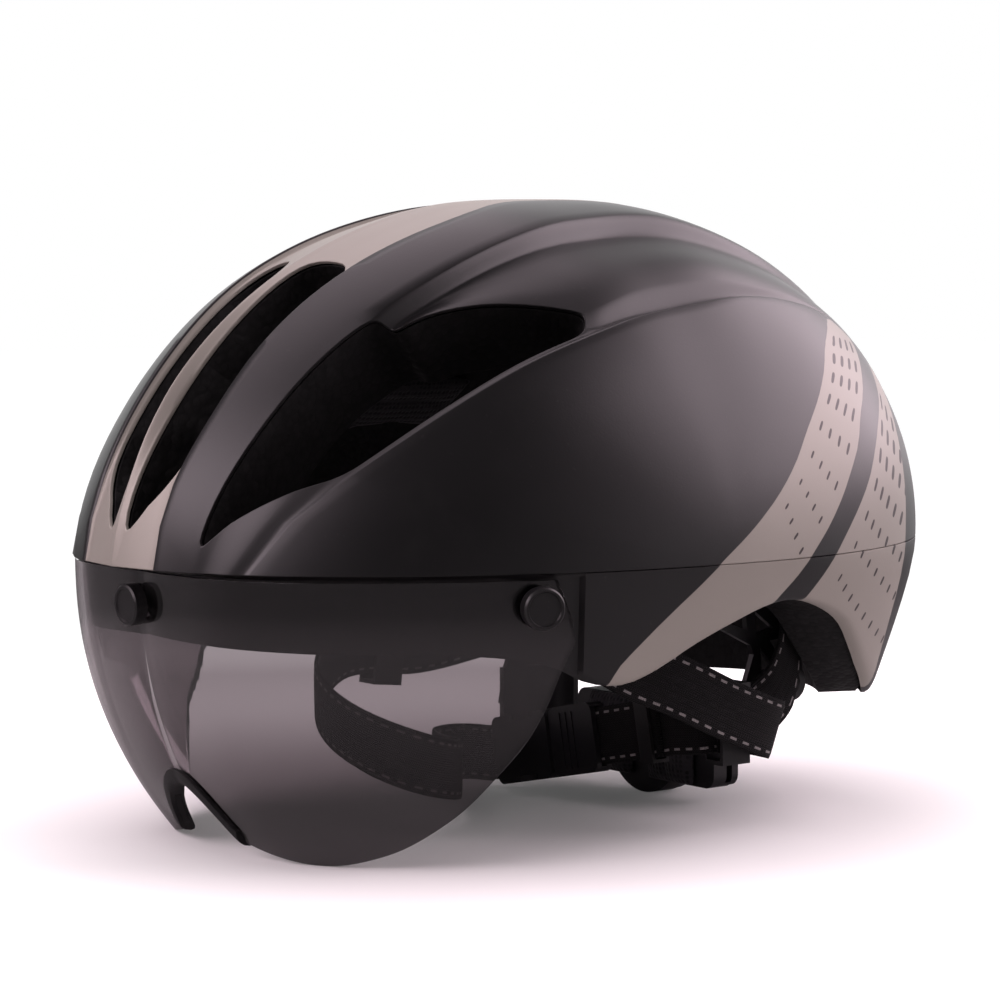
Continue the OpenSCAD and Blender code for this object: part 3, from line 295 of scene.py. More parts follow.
# ---- mesh helpers ----
def grid_bmesh(across, along, place, keep=None, soften=0):
    """A create_grid sheet whose points go to place(c, r), where c and r are their places in across and along.

    keep(c, r) says which cells stay, from the place of the cell's middle. soften rounds the corners of the openings.
    """
    bm = bmesh.new()
    nx, ny = len(across) - 1, len(along) - 1
    c_layer = bm.verts.layers.float.new("across")
    r_layer = bm.verts.layers.float.new("along")
    bmesh.ops.create_grid(bm, x_segments=nx, y_segments=ny, size=1)
    rim = set()
    for v in bm.verts:
        i, j = round((v.co.x + 1) / 2 * nx), round((v.co.y + 1) / 2 * ny)
        v[c_layer], v[r_layer] = across[i], along[j]
        if i in (0, nx) or j in (0, ny):
            rim.add(v)
    if keep:
        gone = []
        for f in bm.faces:
            c = sum(v[c_layer] for v in f.verts) / 4
            r = sum(v[r_layer] for v in f.verts) / 4
            if not keep(c, r):
                gone.append(f)
        bmesh.ops.delete(bm, geom=gone, context="FACES")
    if soften:
        edge_of = {}
        for e in bm.edges:
            if e.is_boundary and not (e.verts[0] in rim and e.verts[1] in rim):
                for v in e.verts:
                    edge_of.setdefault(v, []).append(e.other_vert(v))
        free = {v: pair for v, pair in edge_of.items() if len(pair) == 2 and v not in rim}
        for _ in range(soften):
            moved = {v: [(a[layer] + b[layer] + 2 * v[layer]) / 4 for layer in (c_layer, r_layer)]
                     for v, (a, b) in free.items()}
            for v, (c, r) in moved.items():
                v[c_layer], v[r_layer] = c, r
    for v in bm.verts:
        v.co = place(v[c_layer], v[r_layer])
    return bm, c_layer, r_layer


def thicken(bm, c_layer, r_layer, place):
    """Extrudes the whole sheet and moves the copy to place(c, r), which closes it round its edges."""
    grown = bmesh.ops.extrude_face_region(bm, geom=bm.faces[:])
    for v in grown["geom"]:
        if isinstance(v, bmesh.types.BMVert):
            v.co = place(v[c_layer], v[r_layer])


def thick_sheet(across, along, outer, inner, keep=None, soften=0):
    """A closed sheet between the points of outer(c, r) and those of inner(c, r)."""
    bm, c_layer, r_layer = grid_bmesh(across, along, outer, keep, soften)
    thicken(bm, c_layer, r_layer, inner)
    return bm


def finish_piece(bm, name, material, body, node, smooth):
    """Cleans a mesh, makes it metres and attaches it to its body as a piece that stands for a node, whose own mesh it
    hides; smooth is in degrees.
    """
    bmesh.ops.remove_doubles(bm, verts=bm.verts[:], dist=MERGE)
    if any(f.calc_area() < 1e-12 for f in bm.faces):
        bmesh.ops.dissolve_degenerate(bm, dist=1e-6, edges=bm.edges[:])
    bmesh.ops.recalc_face_normals(bm, faces=bm.faces[:])
    bmesh.ops.scale(bm, vec=(MM, MM, MM), verts=bm.verts[:])
    mesh = bpy.data.meshes.new(name)
    bm.to_mesh(mesh)
    bm.free()
    mesh.materials.append(material)
    mesh.shade_smooth()
    if smooth:
        mesh.set_sharp_from_angle(angle=math.radians(smooth))
    piece = new_object(name, mesh)
    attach(piece, body)
    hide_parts(node)
    return piece


def add_bevel(piece, width, segments, angle):
    bevel = piece.modifiers.new("rounded_edges", "BEVEL")
    bevel.width = width * MM
    bevel.segments = segments
    bevel.limit_method = "ANGLE"
    bevel.angle_limit = math.radians(angle)


def write_uv(piece, name, pairs):
    """pairs holds one (u, v) for each vertex."""
    layer = piece.data.uv_layers.new(name=name)
    flat = []
    for loop in piece.data.loops:
        flat += pairs[loop.vertex_index]
    layer.data.foreach_set("uv", flat)


# ---- shader helpers ----
class Tree:
    """Adds nodes to a material or group with one call each."""

    def __init__(self, tree):
        self.tree = tree

    def node(self, kind, inputs=None, **settings):
        n = self.tree.nodes.new(kind)
        for key, value in settings.items():
            setattr(n, key, value)
        for key, value in (inputs or {}).items():
            self.feed(n.inputs[key], value)
        return n

    def feed(self, socket, value):
        if isinstance(value, bpy.types.NodeSocket):
            self.tree.links.new(value, socket)
        else:
            socket.default_value = value

    def math(self, operation, a, b=0.0):
        return self.node("ShaderNodeMath", {0: a, 1: b}, operation=operation).outputs[0]

    def times(self, a, b):
        return self.math("MULTIPLY", a, b)

    def from_middle(self, value):
        """How far a value is from the middle between two whole numbers."""
        return self.math("ABSOLUTE", self.math("SUBTRACT", self.math("FRACT", value), 0.5))

    def between(self, value, low, high):
        return self.times(self.math("GREATER_THAN", value, low), self.math("LESS_THAN", value, high))

    def grain(self, scale, mottle_scale):
        """The height and the mottle of fine_grain_group()."""
        n = self.node("ShaderNodeGroup", {"Scale": scale, "Mottle Scale": mottle_scale}, node_tree=GRAIN)
        return n.outputs["Height"], n.outputs["Mottle"]

    def handling(self, amount):
        return self.node("ShaderNodeGroup", {"Amount": amount}, node_tree=HANDLING).outputs["Mask"]

    def place(self):
        return self.node("ShaderNodeTexCoord").outputs["Object"]

    def uv(self, name):
        parts = self.node("ShaderNodeSeparateXYZ", {"Vector": self.node("ShaderNodeUVMap", uv_map=name).outputs["UV"]})
        return parts.outputs["X"], parts.outputs["Y"]

    def surface(self, shader, base, rough, bump=None):
        """bump holds (height, strength, distance)."""
        self.feed(shader.inputs["Base Color"], base)
        self.feed(shader.inputs["Roughness"], rough)
        if bump:
            inputs = dict(zip(("Height", "Strength", "Distance"), bump))
            self.feed(shader.inputs["Normal"], self.node("ShaderNodeBump", inputs).outputs["Normal"])

    def step(self, value, low, high, to_min=0.0, to_max=1.0):
        inputs = {"Value": value, "From Min": low, "From Max": high, "To Min": to_min, "To Max": to_max}
        return self.node("ShaderNodeMapRange", inputs, interpolation_type="SMOOTHSTEP").outputs["Result"]

    def mix(self, factor, a, b):
        n = self.node("ShaderNodeMix", data_type="RGBA")
        self.feed(n.inputs[0], factor)
        self.feed(n.inputs[6], a)
        self.feed(n.inputs[7], b)
        return n.outputs[2]

    def noise(self, vector, scale, detail=2.0, rough=0.5):
        inputs = {"Vector": vector, "Scale": scale, "Detail": detail, "Roughness": rough}
        return self.node("ShaderNodeTexNoise", inputs).outputs["Fac"]

    def dot(self, vector, other):
        return self.node("ShaderNodeVectorMath", {0: vector, 1: other}, operation="DOT_PRODUCT").outputs["Value"]


def make_group(name, inputs, outputs):
    """A node group with float inputs {label: default} and float outputs (label, ...)."""
    group = bpy.data.node_groups.new(name, "ShaderNodeTree")
    for label, value in inputs.items():
        group.interface.new_socket(name=label, in_out="INPUT", socket_type="NodeSocketFloat").default_value = value
    for label in outputs:
        group.interface.new_socket(name=label, in_out="OUTPUT", socket_type="NodeSocketFloat")
    t = Tree(group)
    return group, t, t.node("NodeGroupInput"), t.node("NodeGroupOutput")


def make_material(name):
    material = bpy.data.materials.new(name)
    material.use_nodes = True
    t = Tree(material.node_tree)
    shader = material.node_tree.nodes["Principled BSDF"]
    return material, t, shader


def fine_grain_group():
    """Fine moulded or sprayed grain: a height and a slow mottle, which sets colour and roughness."""
    group, t, given, out = make_group("fine_grain", {"Scale": 900.0, "Mottle Scale": 18.0}, ("Height", "Mottle"))
    place = t.place()
    t.feed(out.inputs["Height"], t.noise(place, given.outputs["Scale"], 3.0, 0.6))
    t.feed(out.inputs["Mottle"], t.noise(place, given.outputs["Mottle Scale"], 4.0, 0.55))
    return group


def dust_group():
    """Sparse specks and faint handling marks that lighten a dark surface."""
    group, t, given, out = make_group("handling", {"Amount": 0.1}, ("Mask",))
    place = t.place()
    cloud = t.step(t.noise(place, 42.0, 5.0, 0.7), 0.52, 0.8)
    speck = t.step(t.noise(place, 700.0, 1.0, 0.4), 0.74, 0.8)
    both = t.math("MAXIMUM", t.times(cloud, 0.5), speck)
    t.feed(out.inputs["Mask"], t.times(both, given.outputs["Amount"]))
    return group


GRAIN = fine_grain_group()
HANDLING = dust_group()


# Rows of printed marks on the front and the rear band, whose columns start at REAR_COLUMN:
# (height above the seam where a row enters its band, drop over the band's width, column pitch)
MARK_ROWS = [(63.2, 3.65, 0.2), (58.2, 4.5, 0.2), (52.9, 5.5, 0.2), (47.5, 8.5, 0.2), (40.6, 12.2, 0.2),
    (33.2, 16, 0.2), (26.3, 19.2, 0.2), (20.3, 22.2, 0.2)]
REAR_MARK_ROWS = [(45.6, 12, 0.3), (38, 12.5, 0.25), (30, 13, 0.21), (22.4, 17, 0.17), (14, 20, 0.145),
    (6.7, 24, 0.13), (-1.5, 30, 0.112)]
FRONT_COLUMNS, REAR_COLUMN, REAR_COLUMNS = 4.0, 10.0, 8.5


def shell_paint():
    """Satin charcoal with titanium strips. paint_edge is the distance inside a titanium area in mm.

    The UV map marks holds the column and row of the printed marks, which are ovals that shrink row by row.
    """
    material, t, shader = make_material("satin_shell_paint")
    edge = t.node("ShaderNodeAttribute", attribute_name="paint_edge").outputs["Fac"]
    inside = t.step(edge, -0.12, 0.12)
    rim = t.step(edge, -0.5, -0.1)
    across, along = t.uv("marks")
    half_along = t.step(along, 1.0, 6.5, 0.3, 0.11)
    half_across = t.step(along, 1.0, 6.5, 0.19, 0.085)
    oval_x = t.math("POWER", t.math("DIVIDE", t.from_middle(across), half_across), 3.0)
    oval_y = t.math("POWER", t.math("DIVIDE", t.from_middle(along), half_along), 3.0)
    mark = t.step(t.math("ADD", oval_x, oval_y), 0.75, 1.2, 1.0, 0.0)
    front = t.times(t.between(across, 0.0, FRONT_COLUMNS), t.between(along, 0.0, len(MARK_ROWS)))
    rear_end = REAR_COLUMN + REAR_COLUMNS
    rear = t.times(t.between(across, REAR_COLUMN, rear_end),
                   t.between(along, 0.0, len(REAR_MARK_ROWS)))
    mark = t.times(mark, t.math("MAXIMUM", front, rear))
    grain, mottle = t.grain(1500.0, 9.0)
    tone = t.step(mottle, 0.3, 0.7)
    dark = t.mix(tone, (0.0042, 0.0039, 0.0043, 1), (0.0052, 0.0048, 0.0053, 1))
    pale = t.mix(tone, (0.275, 0.254, 0.226, 1), (0.305, 0.282, 0.25, 1))
    pale = t.mix(mark, pale, (0.03, 0.022, 0.024, 1))
    base = t.mix(inside, dark, pale)
    base = t.mix(t.times(rim, t.math("SUBTRACT", 1.0, inside)), base, (0.009, 0.008, 0.009, 1))
    base = t.mix(t.handling(0.035), base, (0.2, 0.185, 0.18, 1))
    satin = t.step(mottle, 0.2, 0.8, 0.36, 0.42)
    t.surface(shader, base, t.math("ADD", satin, t.times(inside, 0.09)), (grain, 0.1, 0.0002))
    t.feed(shader.inputs["Metallic"], t.times(inside, 0.28))
    return material


def foam_material():
    """Expanded beads: small rounded cells with darker joints."""
    material, t, shader = make_material("bead_foam")
    place = t.place()
    cells = t.node("ShaderNodeTexVoronoi", {"Vector": place, "Scale": 420.0, "Randomness": 0.9})
    joint = t.step(cells.outputs["Distance"], 0.25, 0.75)
    tone = t.node("ShaderNodeSeparateColor", {"Color": cells.outputs["Color"]}).outputs[0]
    base = t.mix(t.times(joint, 0.7), (0.0068, 0.0064, 0.0066, 1), (0.003, 0.003, 0.003, 1))
    base = t.mix(t.times(t.step(tone, 0.6, 1.0), 0.5), base, (0.012, 0.0112, 0.0115, 1))
    t.surface(shader, base, t.step(tone, 0.0, 1.0, 0.62, 0.8), (t.math("SUBTRACT", 1.0, joint), 0.22, 0.0006))
    shader.inputs["Specular IOR Level"].default_value = 0.25
    return material


def smoked_lens():
    material, t, shader = make_material("smoked_lens")
    mottle = t.grain(40.0, 6.0)[1]
    base = t.mix(t.step(mottle, 0.3, 0.7), (0.25, 0.217, 0.231, 1), (0.265, 0.231, 0.245, 1))
    t.surface(shader, base, t.step(mottle, 0.2, 0.8, 0.01, 0.02))
    shader.inputs["Transmission Weight"].default_value = 1.0
    shader.inputs["IOR"].default_value = 1.5
    shader.inputs["Specular IOR Level"].default_value = 0.05
    return material


def moulded_plastic(name, color, rough, grain_strength=0.25, scale=1400.0):
    material, t, shader = make_material(name)
    grain, mottle = t.grain(scale, 25.0)
    dark = tuple(c * 0.85 for c in color[:3]) + (1,)
    base = t.mix(t.step(mottle, 0.3, 0.7), dark, color)
    base = t.mix(t.handling(0.06), base, (0.22, 0.21, 0.2, 1))
    t.surface(shader, base, t.step(mottle, 0.2, 0.8, rough - 0.04, rough + 0.05), (grain, grain_strength, 0.0002))
    return material


def steel():
    material, t, shader = make_material("plated_steel")
    grain, mottle = t.grain(2200.0, 60.0)
    base = t.mix(t.step(mottle, 0.3, 0.7), (0.48, 0.48, 0.49, 1), (0.6, 0.6, 0.61, 1))
    t.surface(shader, base, t.step(mottle, 0.2, 0.8, 0.2, 0.32), (grain, 0.15, 0.0001))
    shader.inputs["Metallic"].default_value = 1.0
    return material


def webbing_material():
    """Narrow woven tape. The UV map weave holds mm across and mm along; a dashed stitch runs near each edge."""
    material, t, shader = make_material("woven_webbing")
    across, along = t.uv("weave")
    zig = t.from_middle(t.times(across, 0.42))
    rib_place = t.math("ADD", t.times(along, 1.35), t.times(zig, 3.2))
    ribs = t.math("SINE", t.times(rib_place, 6.283))
    threads = t.math("SINE", t.times(across, 9.2))
    height = t.math("ADD", t.times(ribs, 0.5), t.times(threads, 0.3))
    side = t.math("ABSOLUTE", t.math("SUBTRACT", t.math("ABSOLUTE", across), 7.2))
    near = t.step(side, 0.3, 0.45, 1.0, 0.0)
    dash = t.math("LESS_THAN", t.math("FRACT", t.times(along, 0.2)), 0.5)
    stitch = t.times(near, dash)
    # The weave's low parts are painted darker than its raised threads: painted shade in the weave.
    base = t.mix(t.step(height, -0.6, 0.7), (0.003, 0.0028, 0.003, 1), (0.0085, 0.008, 0.0088, 1))
    base = t.mix(stitch, base, (0.2, 0.185, 0.185, 1))
    raised = t.math("ADD", height, t.times(stitch, 0.9))
    t.surface(shader, base, t.step(height, -0.6, 0.7, 0.9, 0.68), (raised, 0.6, 0.0003))
    shader.inputs["Sheen Weight"].default_value = 0.02
    shader.inputs["Specular IOR Level"].default_value = 0.15
    return material


def pad_material():
    """Knitted pad cover, a fine mesh over soft foam."""
    material, t, shader = make_material("knitted_pad")
    place = t.place()
    knit = t.node("ShaderNodeTexVoronoi", {"Vector": place, "Scale": 620.0, "Randomness": 0.25})
    holes = t.step(knit.outputs["Distance"], 0.2, 0.6)
    fuzz = t.noise(place, 260.0, 3.0, 0.7)
    # The knit's sunken holes are painted darker than its yarn: painted shade in the holes.
    base = t.mix(holes, (0.007, 0.007, 0.008, 1), (0.026, 0.025, 0.028, 1))
    base = t.mix(t.step(fuzz, 0.45, 0.8), base, (0.034, 0.032, 0.035, 1))
    t.surface(shader, base, t.step(fuzz, 0.2, 0.8, 0.8, 0.95), (holes, 0.5, 0.0004))
    shader.inputs["Sheen Weight"].default_value = 0.1
    shader.inputs["Specular IOR Level"].default_value = 0.2
    return material


paint = shell_paint()
foam = foam_material()
lens_glass = smoked_lens()
rubber = moulded_plastic("nose_rubber", (0.007, 0.0066, 0.007, 1), 0.45, 0.3, 900.0)
plastic = moulded_plastic("moulded_nylon", (0.013, 0.0125, 0.014, 1), 0.42)
cap_plastic = moulded_plastic("cap_plastic", (0.008, 0.0074, 0.008, 1), 0.38, 0.15, 1800.0)
gear_plastic = moulded_plastic("gear_nylon", (0.055, 0.054, 0.06, 1), 0.45)
metal = steel()
webbing = webbing_material()
knit = pad_material()

# ---- painted areas: (height above the seam, degrees round the helmet) along the edge of each band ----
FIRST_MARK, FIRST_REAR_MARK, LEAST_PITCH, SLANT, STRIP_END, NO_PANEL = 0.22, 0.19, 0.08, 0.8, 150, 50
BAND1_FRONT = [(-60, 58), (-28.8, 66.9), (-20.6, 71.5), (-13.1, 76.4), (-4.5, 82.5), (1.9, 86.8), (10, 92.9),
    (18.3, 98.6), (27.5, 104.1), (36.9, 109.2), (45.5, 115.2), (54.3, 121.9), (61.6, 128.1), (68.2, 137.9), (75, 148),
    (90, 170)]
STRIPE_FRONT = [(-60, 70), (-30, 88), (-11.7, 99), (-5.6, 103.1), (1.3, 106.8), (8.2, 110.8), (16, 115), (23.8, 119),
    (31.8, 123.5), (39.8, 127.4), (46.2, 132.3), (53.6, 138.3), (65, 150), (90, 180)]
STRIPE_REAR = [(-60, 80), (-30, 95), (-11.8, 106.4), (-7.2, 109.1), (-1, 112.2), (6.8, 116.3), (14.5, 120.7),
    (21.6, 124.8), (29.6, 129), (37.6, 134.1), (44, 139.5), (55, 149), (70, 165), (90, 180)]
BAND2_REAR = [(-60, 147), (-41.9, 142.6), (-28.5, 139.8), (-14.9, 138.4), (-6, 138), (5.3, 138.3), (12.9, 139.2),
    (19.1, 140.2), (25, 141.2), (31.5, 142.8), (40, 146), (50, 151.5), (60, 159), (75, 172), (90, 180)]


def mark_place(z, t, rows, first):
    """(column, row) in the grid of marks at a height z and a share t of the band's width."""
    def row_at(n):
        k = min(len(rows) - 2, max(0, int(n)))
        return [a + (b - a) * (n - k) for a, b in zip(rows[k], rows[k + 1])]

    low, high = -2.0, len(rows) + 1.0
    for _ in range(16):
        n = (low + high) / 2
        start, drop, _ = row_at(n)
        low, high = (low, n) if z + drop * t > start else (n, high)
    pitch = max(LEAST_PITCH, row_at(low)[2])
    return (t - first) / pitch + 0.5, low + 0.5


def paint_at(p, panel_side):
    """(distance inside titanium in mm, column of marks, row of marks) at a point of the shells."""
    turn, z = round_angle(p), p[2] - SEAM_Z
    per_degree = math.hypot(p[0], p[1] - FAN_Y) * math.pi / 180
    f1, r1 = curve(BAND1_FRONT, z), curve(STRIPE_FRONT, z)
    f2, r2 = curve(STRIPE_REAR, z), curve(BAND2_REAR, z)
    d1 = min(turn - f1, r1 - turn) * per_degree * SLANT
    d2 = min(turn - f2, r2 - turn) * per_degree * SLANT
    edge = min(max(d1, d2), panel_side)
    if turn < (r1 + f2) / 2:
        return edge, *mark_place(z, (turn - f1) / max(1.0, r1 - f1), MARK_ROWS, FIRST_MARK)
    col, row = mark_place(z, (turn - f2) / max(1.0, r2 - f2), REAR_MARK_ROWS, FIRST_REAR_MARK)
    return edge, col + REAR_COLUMN, row


def paint_layers(piece, crown):
    """Writes the paint attribute and the grid of marks on a shell piece."""
    edges, pairs = [], []
    for v in piece.data.vertices:
        p = v.co / MM
        x = abs(p[0])
        a = math.degrees(math.atan2(p[2] - SEAM_Z, FAN_Y - p[1]))
        if crown and a > -1:
            edge, col, row = paint_at(p, x - curve(CREASE, a))
            edge = max(edge, min(curve(BAND_INNER, a) - WALL_RUN / 2 - x, STRIP_END - a))
        else:
            edge, col, row = paint_at(p, NO_PANEL)
        edges.append(edge)
        pairs.append((col, row))
    piece.data.attributes.new("paint_edge", "FLOAT", "POINT").data.foreach_set("value", edges)
    write_uv(piece, "marks", pairs)


# ---- upper shell ----
KNOT_STEPS = [3, 3, 3, 4, 3, 3, 6, 5, 7, 5] + [4] * 6
CORNER_ROUNDING = 8
COLUMNS = mirrored(spread(range(POLE + 1), KNOT_STEPS))
ROW_PLACES = spread(range(len(ROWS)), [2, 4, 4] + [4] * (len(ROWS) - 4))


def crown_place(depth):
    def place(c, r):
        w = abs(c)
        a = angle_at(w, r)
        return shell_point(a, math.copysign(u_at(w, a), c), depth + recess_at(w, a))
    return place


def upper_shell():
    bm = thick_sheet(COLUMNS, ROW_PLACES, crown_place(0), crown_place(SKIN_T), is_closed, CORNER_ROUNDING)
    piece = finish_piece(bm, "upper_shell_skin", paint, "helmet", "upper_shell", 50)
    paint_layers(piece, True)
    add_bevel(piece, 0.4, 3, 50)


upper_shell()


# ---- lower shell ----
TURNS = mirrored(spread([0, 12, 26, 42, LENS_END, LENS_END + 0.8, 75, 90, 110, 130, 150, 180],
                        [6, 7, 6, 6, 1, 6, 6, 9, 10, 10, 14]))
# The rim rolls in over the wall's last share. The wall starts a little below the seam, and lower behind the shield.
ROLL_FROM, ROLL_SHARE, ROLL_IN = 0.9, 0.1, 1.9
WALL_TOP, LEDGE_TOP, LEDGE_LOW = 0.4, 1.3, 1.35
WALL_PLACES = [0, 0.004, 0.03, 0.1, 0.25, 0.4, 0.55, 0.7, 0.82, 0.9, 0.94, 0.965, 0.985, 1.0]


def wall_place(depth):
    def place(turn, share):
        w = abs(turn)
        top, rim = plan_point(turn), curve(RIM_DROP, w)
        behind = w <= LENS_END + 0.01
        low = lens_point(turn, 0) if behind else top
        inset = (LENS_ROOM if behind else 0) + depth
        drop = rim * share
        over = max(0.0, share - ROLL_FROM) / ROLL_SHARE
        roll = 0.0 if behind else ROLL_IN * (1 - math.sqrt(max(0.0, 1 - over * over)))
        if share < 0.001:
            return lowered(top, 0.1 + depth / 4, 0.3 + depth)
        if share < 0.01:
            return lowered(low, LEDGE_TOP if behind else 0.3 + depth / 4, inset)
        return lowered(low, max(drop, LEDGE_LOW if behind else WALL_TOP), inset + roll)
    return place


def lower_shell():
    bm = thick_sheet(TURNS, WALL_PLACES, wall_place(0), wall_place(SKIN_T))
    piece = finish_piece(bm, "lower_shell_skin", paint, "helmet", "lower_shell", 50)
    paint_layers(piece, False)


lower_shell()

# ---- foam liner ----
SKIRT, LAST_ROW = 8, len(ROWS) - 1
ROUND_FROM, ROUND_SHARE, ROUND_IN, ROUND_OUT = 0.86, 0.14, 1.5, 3.2
BLEND, STEP_WIDE = 3, 5
FOAM_PLACES = list(range(-SKIRT, 0)) + ROW_PLACES + list(range(LAST_ROW + 1, LAST_ROW + 1 + SKIRT))


def low_line(turn, seat):
    if turn > LENS_END + BLEND:
        return seat
    k = min(1.0, max(0.0, (LENS_END + BLEND - turn) / BLEND))
    q = lens_point(turn, 0)
    q[0] = math.copysign(q[0], seat[0])
    return seat * (1 - k) + q * k


def foam_place(inner):
    gap = SKIN_T + FOAM_GAP

    def place(c, r):
        under = max(0.0, -r, r - LAST_ROW) / SKIRT
        row = min(float(LAST_ROW), max(0.0, r))
        a = angle_at(abs(c), row)
        u = math.copysign(u_at(abs(c), a), c)
        seat = shell_point(a, u, 0)
        turn = round_angle(seat)
        stepped = turn < LENS_END + STEP_WIDE
        rim = curve(RIM_DROP, turn)
        round_off = max(0.0, (under - ROUND_FROM) / ROUND_SHARE)
        if inner:
            if under < 0.001:
                return cavity_point(a, u)
            d = under * (rim - 0.5)
            inset = 0.02 * d - lean_in(d, turn) - ROUND_IN * round_off ** 2
            return lowered(cavity_point(a, u), d, inset)
        if under < 0.001:
            lift = 0.4 if stepped and row in (0, LAST_ROW) else 0
            return shell_point(a, u, gap + recess_at(abs(c), a)) + Vector((0, 0, lift))
        drop = under * (rim - 0.5)
        if stepped and under <= 1.01 / SKIRT:
            drop = 0.0
        inset = gap + (LENS_ROOM if stepped else 0) + ROUND_OUT * round_off ** 2
        return lowered(low_line(turn, seat), drop, inset)
    return place


def foam_liner():
    bm = thick_sheet(COLUMNS, FOAM_PLACES, foam_place(False), foam_place(True), is_closed, CORNER_ROUNDING)
    piece = finish_piece(bm, "foam_body", foam, "helmet", "foam_liner", 60)
    add_bevel(piece, 1.2, 2, 50)


foam_liner()

# ---- eye shield ----
LENS_COLUMNS = mirrored(spread([0, 1.3, 3.3, 5.1, 6.9, 7.8, 14, 24, 39, 49, 56, LENS_END],
                               [2, 3, 3, 3, 2, 6, 8, 12, 9, 8, 8]))
LENS_ROWS = [n / 40 for n in range(41)]
TOP_DROP, TOP_END, REAR_DROP, CORNER_FROM, CORNER_RISE = 1.6, 56.8, 19.4, 57.9, 6.5


def lobe_drop(w):
    """Lower edge of the shield, with its rear corner rounded."""
    s = min(1.0, max(0.0, (w - CORNER_FROM) / (LENS_END - CORNER_FROM)))
    return curve(LOBE_DROP, w) - CORNER_RISE * (1 - math.sqrt(1 - s * s))


def lens_place(out):
    def place(turn, share):
        drop = TOP_DROP + (1 - share) * (lobe_drop(abs(turn)) - TOP_DROP)
        wide = (TOP_END + (LENS_END - TOP_END) * min(1.0, drop / REAR_DROP)) / LENS_END
        return lens_point(turn * wide, drop, out)
    return place


def eye_shield():
    bm = thick_sheet(LENS_COLUMNS, LENS_ROWS, lens_place(LENS_T / 2), lens_place(-LENS_T / 2))
    piece = finish_piece(bm, "eye_shield", lens_glass, "visor", "lens", 40)
    add_bevel(piece, 0.5, 3, 40)


eye_shield()

# ---- nose trim: a rubber lip round the notch ----
TRIM_TURNS = mirrored(spread([0, 1.3, 2.3, 3.3, 4.2, 5.1, 6, 6.9, 7.8], [3, 2, 2, 2, 2, 2, 2, 2]))
# The lip's section: (how far up from the notch's edge, how far out from the shield's middle)
TRIM_SECTION = [(3.3, 1.5), (3.1, 2.2), (1.2, 2.6), (-0.8, 2.5), (-1.8, 1.7), (-2.2, 0), (-1.8, -1.5), (-0.8, -2.1),
    (1.2, -2.3), (3.1, -2.1), (3.3, -1.5)]


def trim_place(turn, k):
    into, out = TRIM_SECTION[round(k)]
    w = abs(turn)
    per_degree = (FRONT_R - NOSE_SETBACK) * math.pi / 180
    slope = 0.0 if w < 0.1 else (curve(LOBE_DROP, w + 0.05) - curve(LOBE_DROP, w - 0.05)) / (0.1 * per_degree)
    length = math.sqrt(1 + slope * slope)
    side = 0.0 if turn == 0 else math.copysign(into * slope / length / per_degree, turn)
    return lens_point(turn + side, curve(LOBE_DROP, w) - into / length, out)


def nose_trim():
    last = len(TRIM_SECTION) - 1
    bm, c_layer, r_layer = grid_bmesh(TRIM_TURNS, range(last + 1), trim_place)
    seam = [e for e in bm.edges if all(round(v[r_layer]) in (0, last) for v in e.verts)]
    bmesh.ops.bridge_loops(bm, edges=seam)
    for end in (TRIM_TURNS[0], TRIM_TURNS[-1]):
        ring = [e for e in bm.edges if e.is_boundary and all(abs(v[c_layer] - end) < 0.01 for v in e.verts)]
        bmesh.ops.edgeloop_fill(bm, edges=ring)
    finish_piece(bm, "nose_lip", rubber, "visor", "nose_trim", 50)


nose_trim()


# ---- pads ----
AIR_PRESSURE, SWELL_FRAMES, SEAT_REACH, SEAM_DEEP, SEAM_WIDE = 4.0, 20, 1.3, 0.9, 0.9
EDGE_T, PAD_T = 1.2, 5.4
BROW_TURN, BROW_HALF, BROW_TAPER, BROW_DROP = 96, 11, 3, 8
NAPE_X, NAPE_WIDE, NAPE_Y, NAPE_Z, NAPE_TALL = 15, 22.4, 55.65, 18, 26


def crown_of(s, t):
    """How full a cushion is, from 0 at its edge to 1 in its middle."""
    return max(0.0, 1 - abs(2 * s - 1) ** 2.6) ** 0.5 * max(0.0, 1 - abs(2 * t - 1) ** 2.6) ** 0.5


def brow_place(s, t, depth):
    turn, half = (s - 0.5) * BROW_TURN, BROW_HALF - BROW_TAPER * (2 * s - 1) ** 2
    r = outline_r(turn, CAVITY_HALF_W, CAVITY_FRONT, CAVITY_REAR) - depth
    return round_point(turn, SEAM_Z - BROW_DROP + half * (2 * t - 1), r)


def crown_pad_place(s, t, depth):
    return cavity_point(72 + 56 * t, (s - 0.5) * (0.36 - 0.1 * (2 * t - 1) ** 2), depth)


def side_pad_place(side):
    def place(s, t, depth):
        p = cavity_point(62 + 56 * t, 0.74 + 0.16 * s, depth)
        return Vector((side * p[0], p[1], p[2]))
    return place


def nape_place(side):
    def place(s, t, depth):
        return Vector((side * NAPE_X + (s - 0.5) * NAPE_WIDE, NAPE_Y - depth, NAPE_Z + (t - 0.5) * NAPE_TALL))
    return place


def tree_of(points):
    tree = KDTree(len(points))
    for n, p in enumerate(points):
        tree.insert(p * MM, n)
    tree.balance()
    return tree


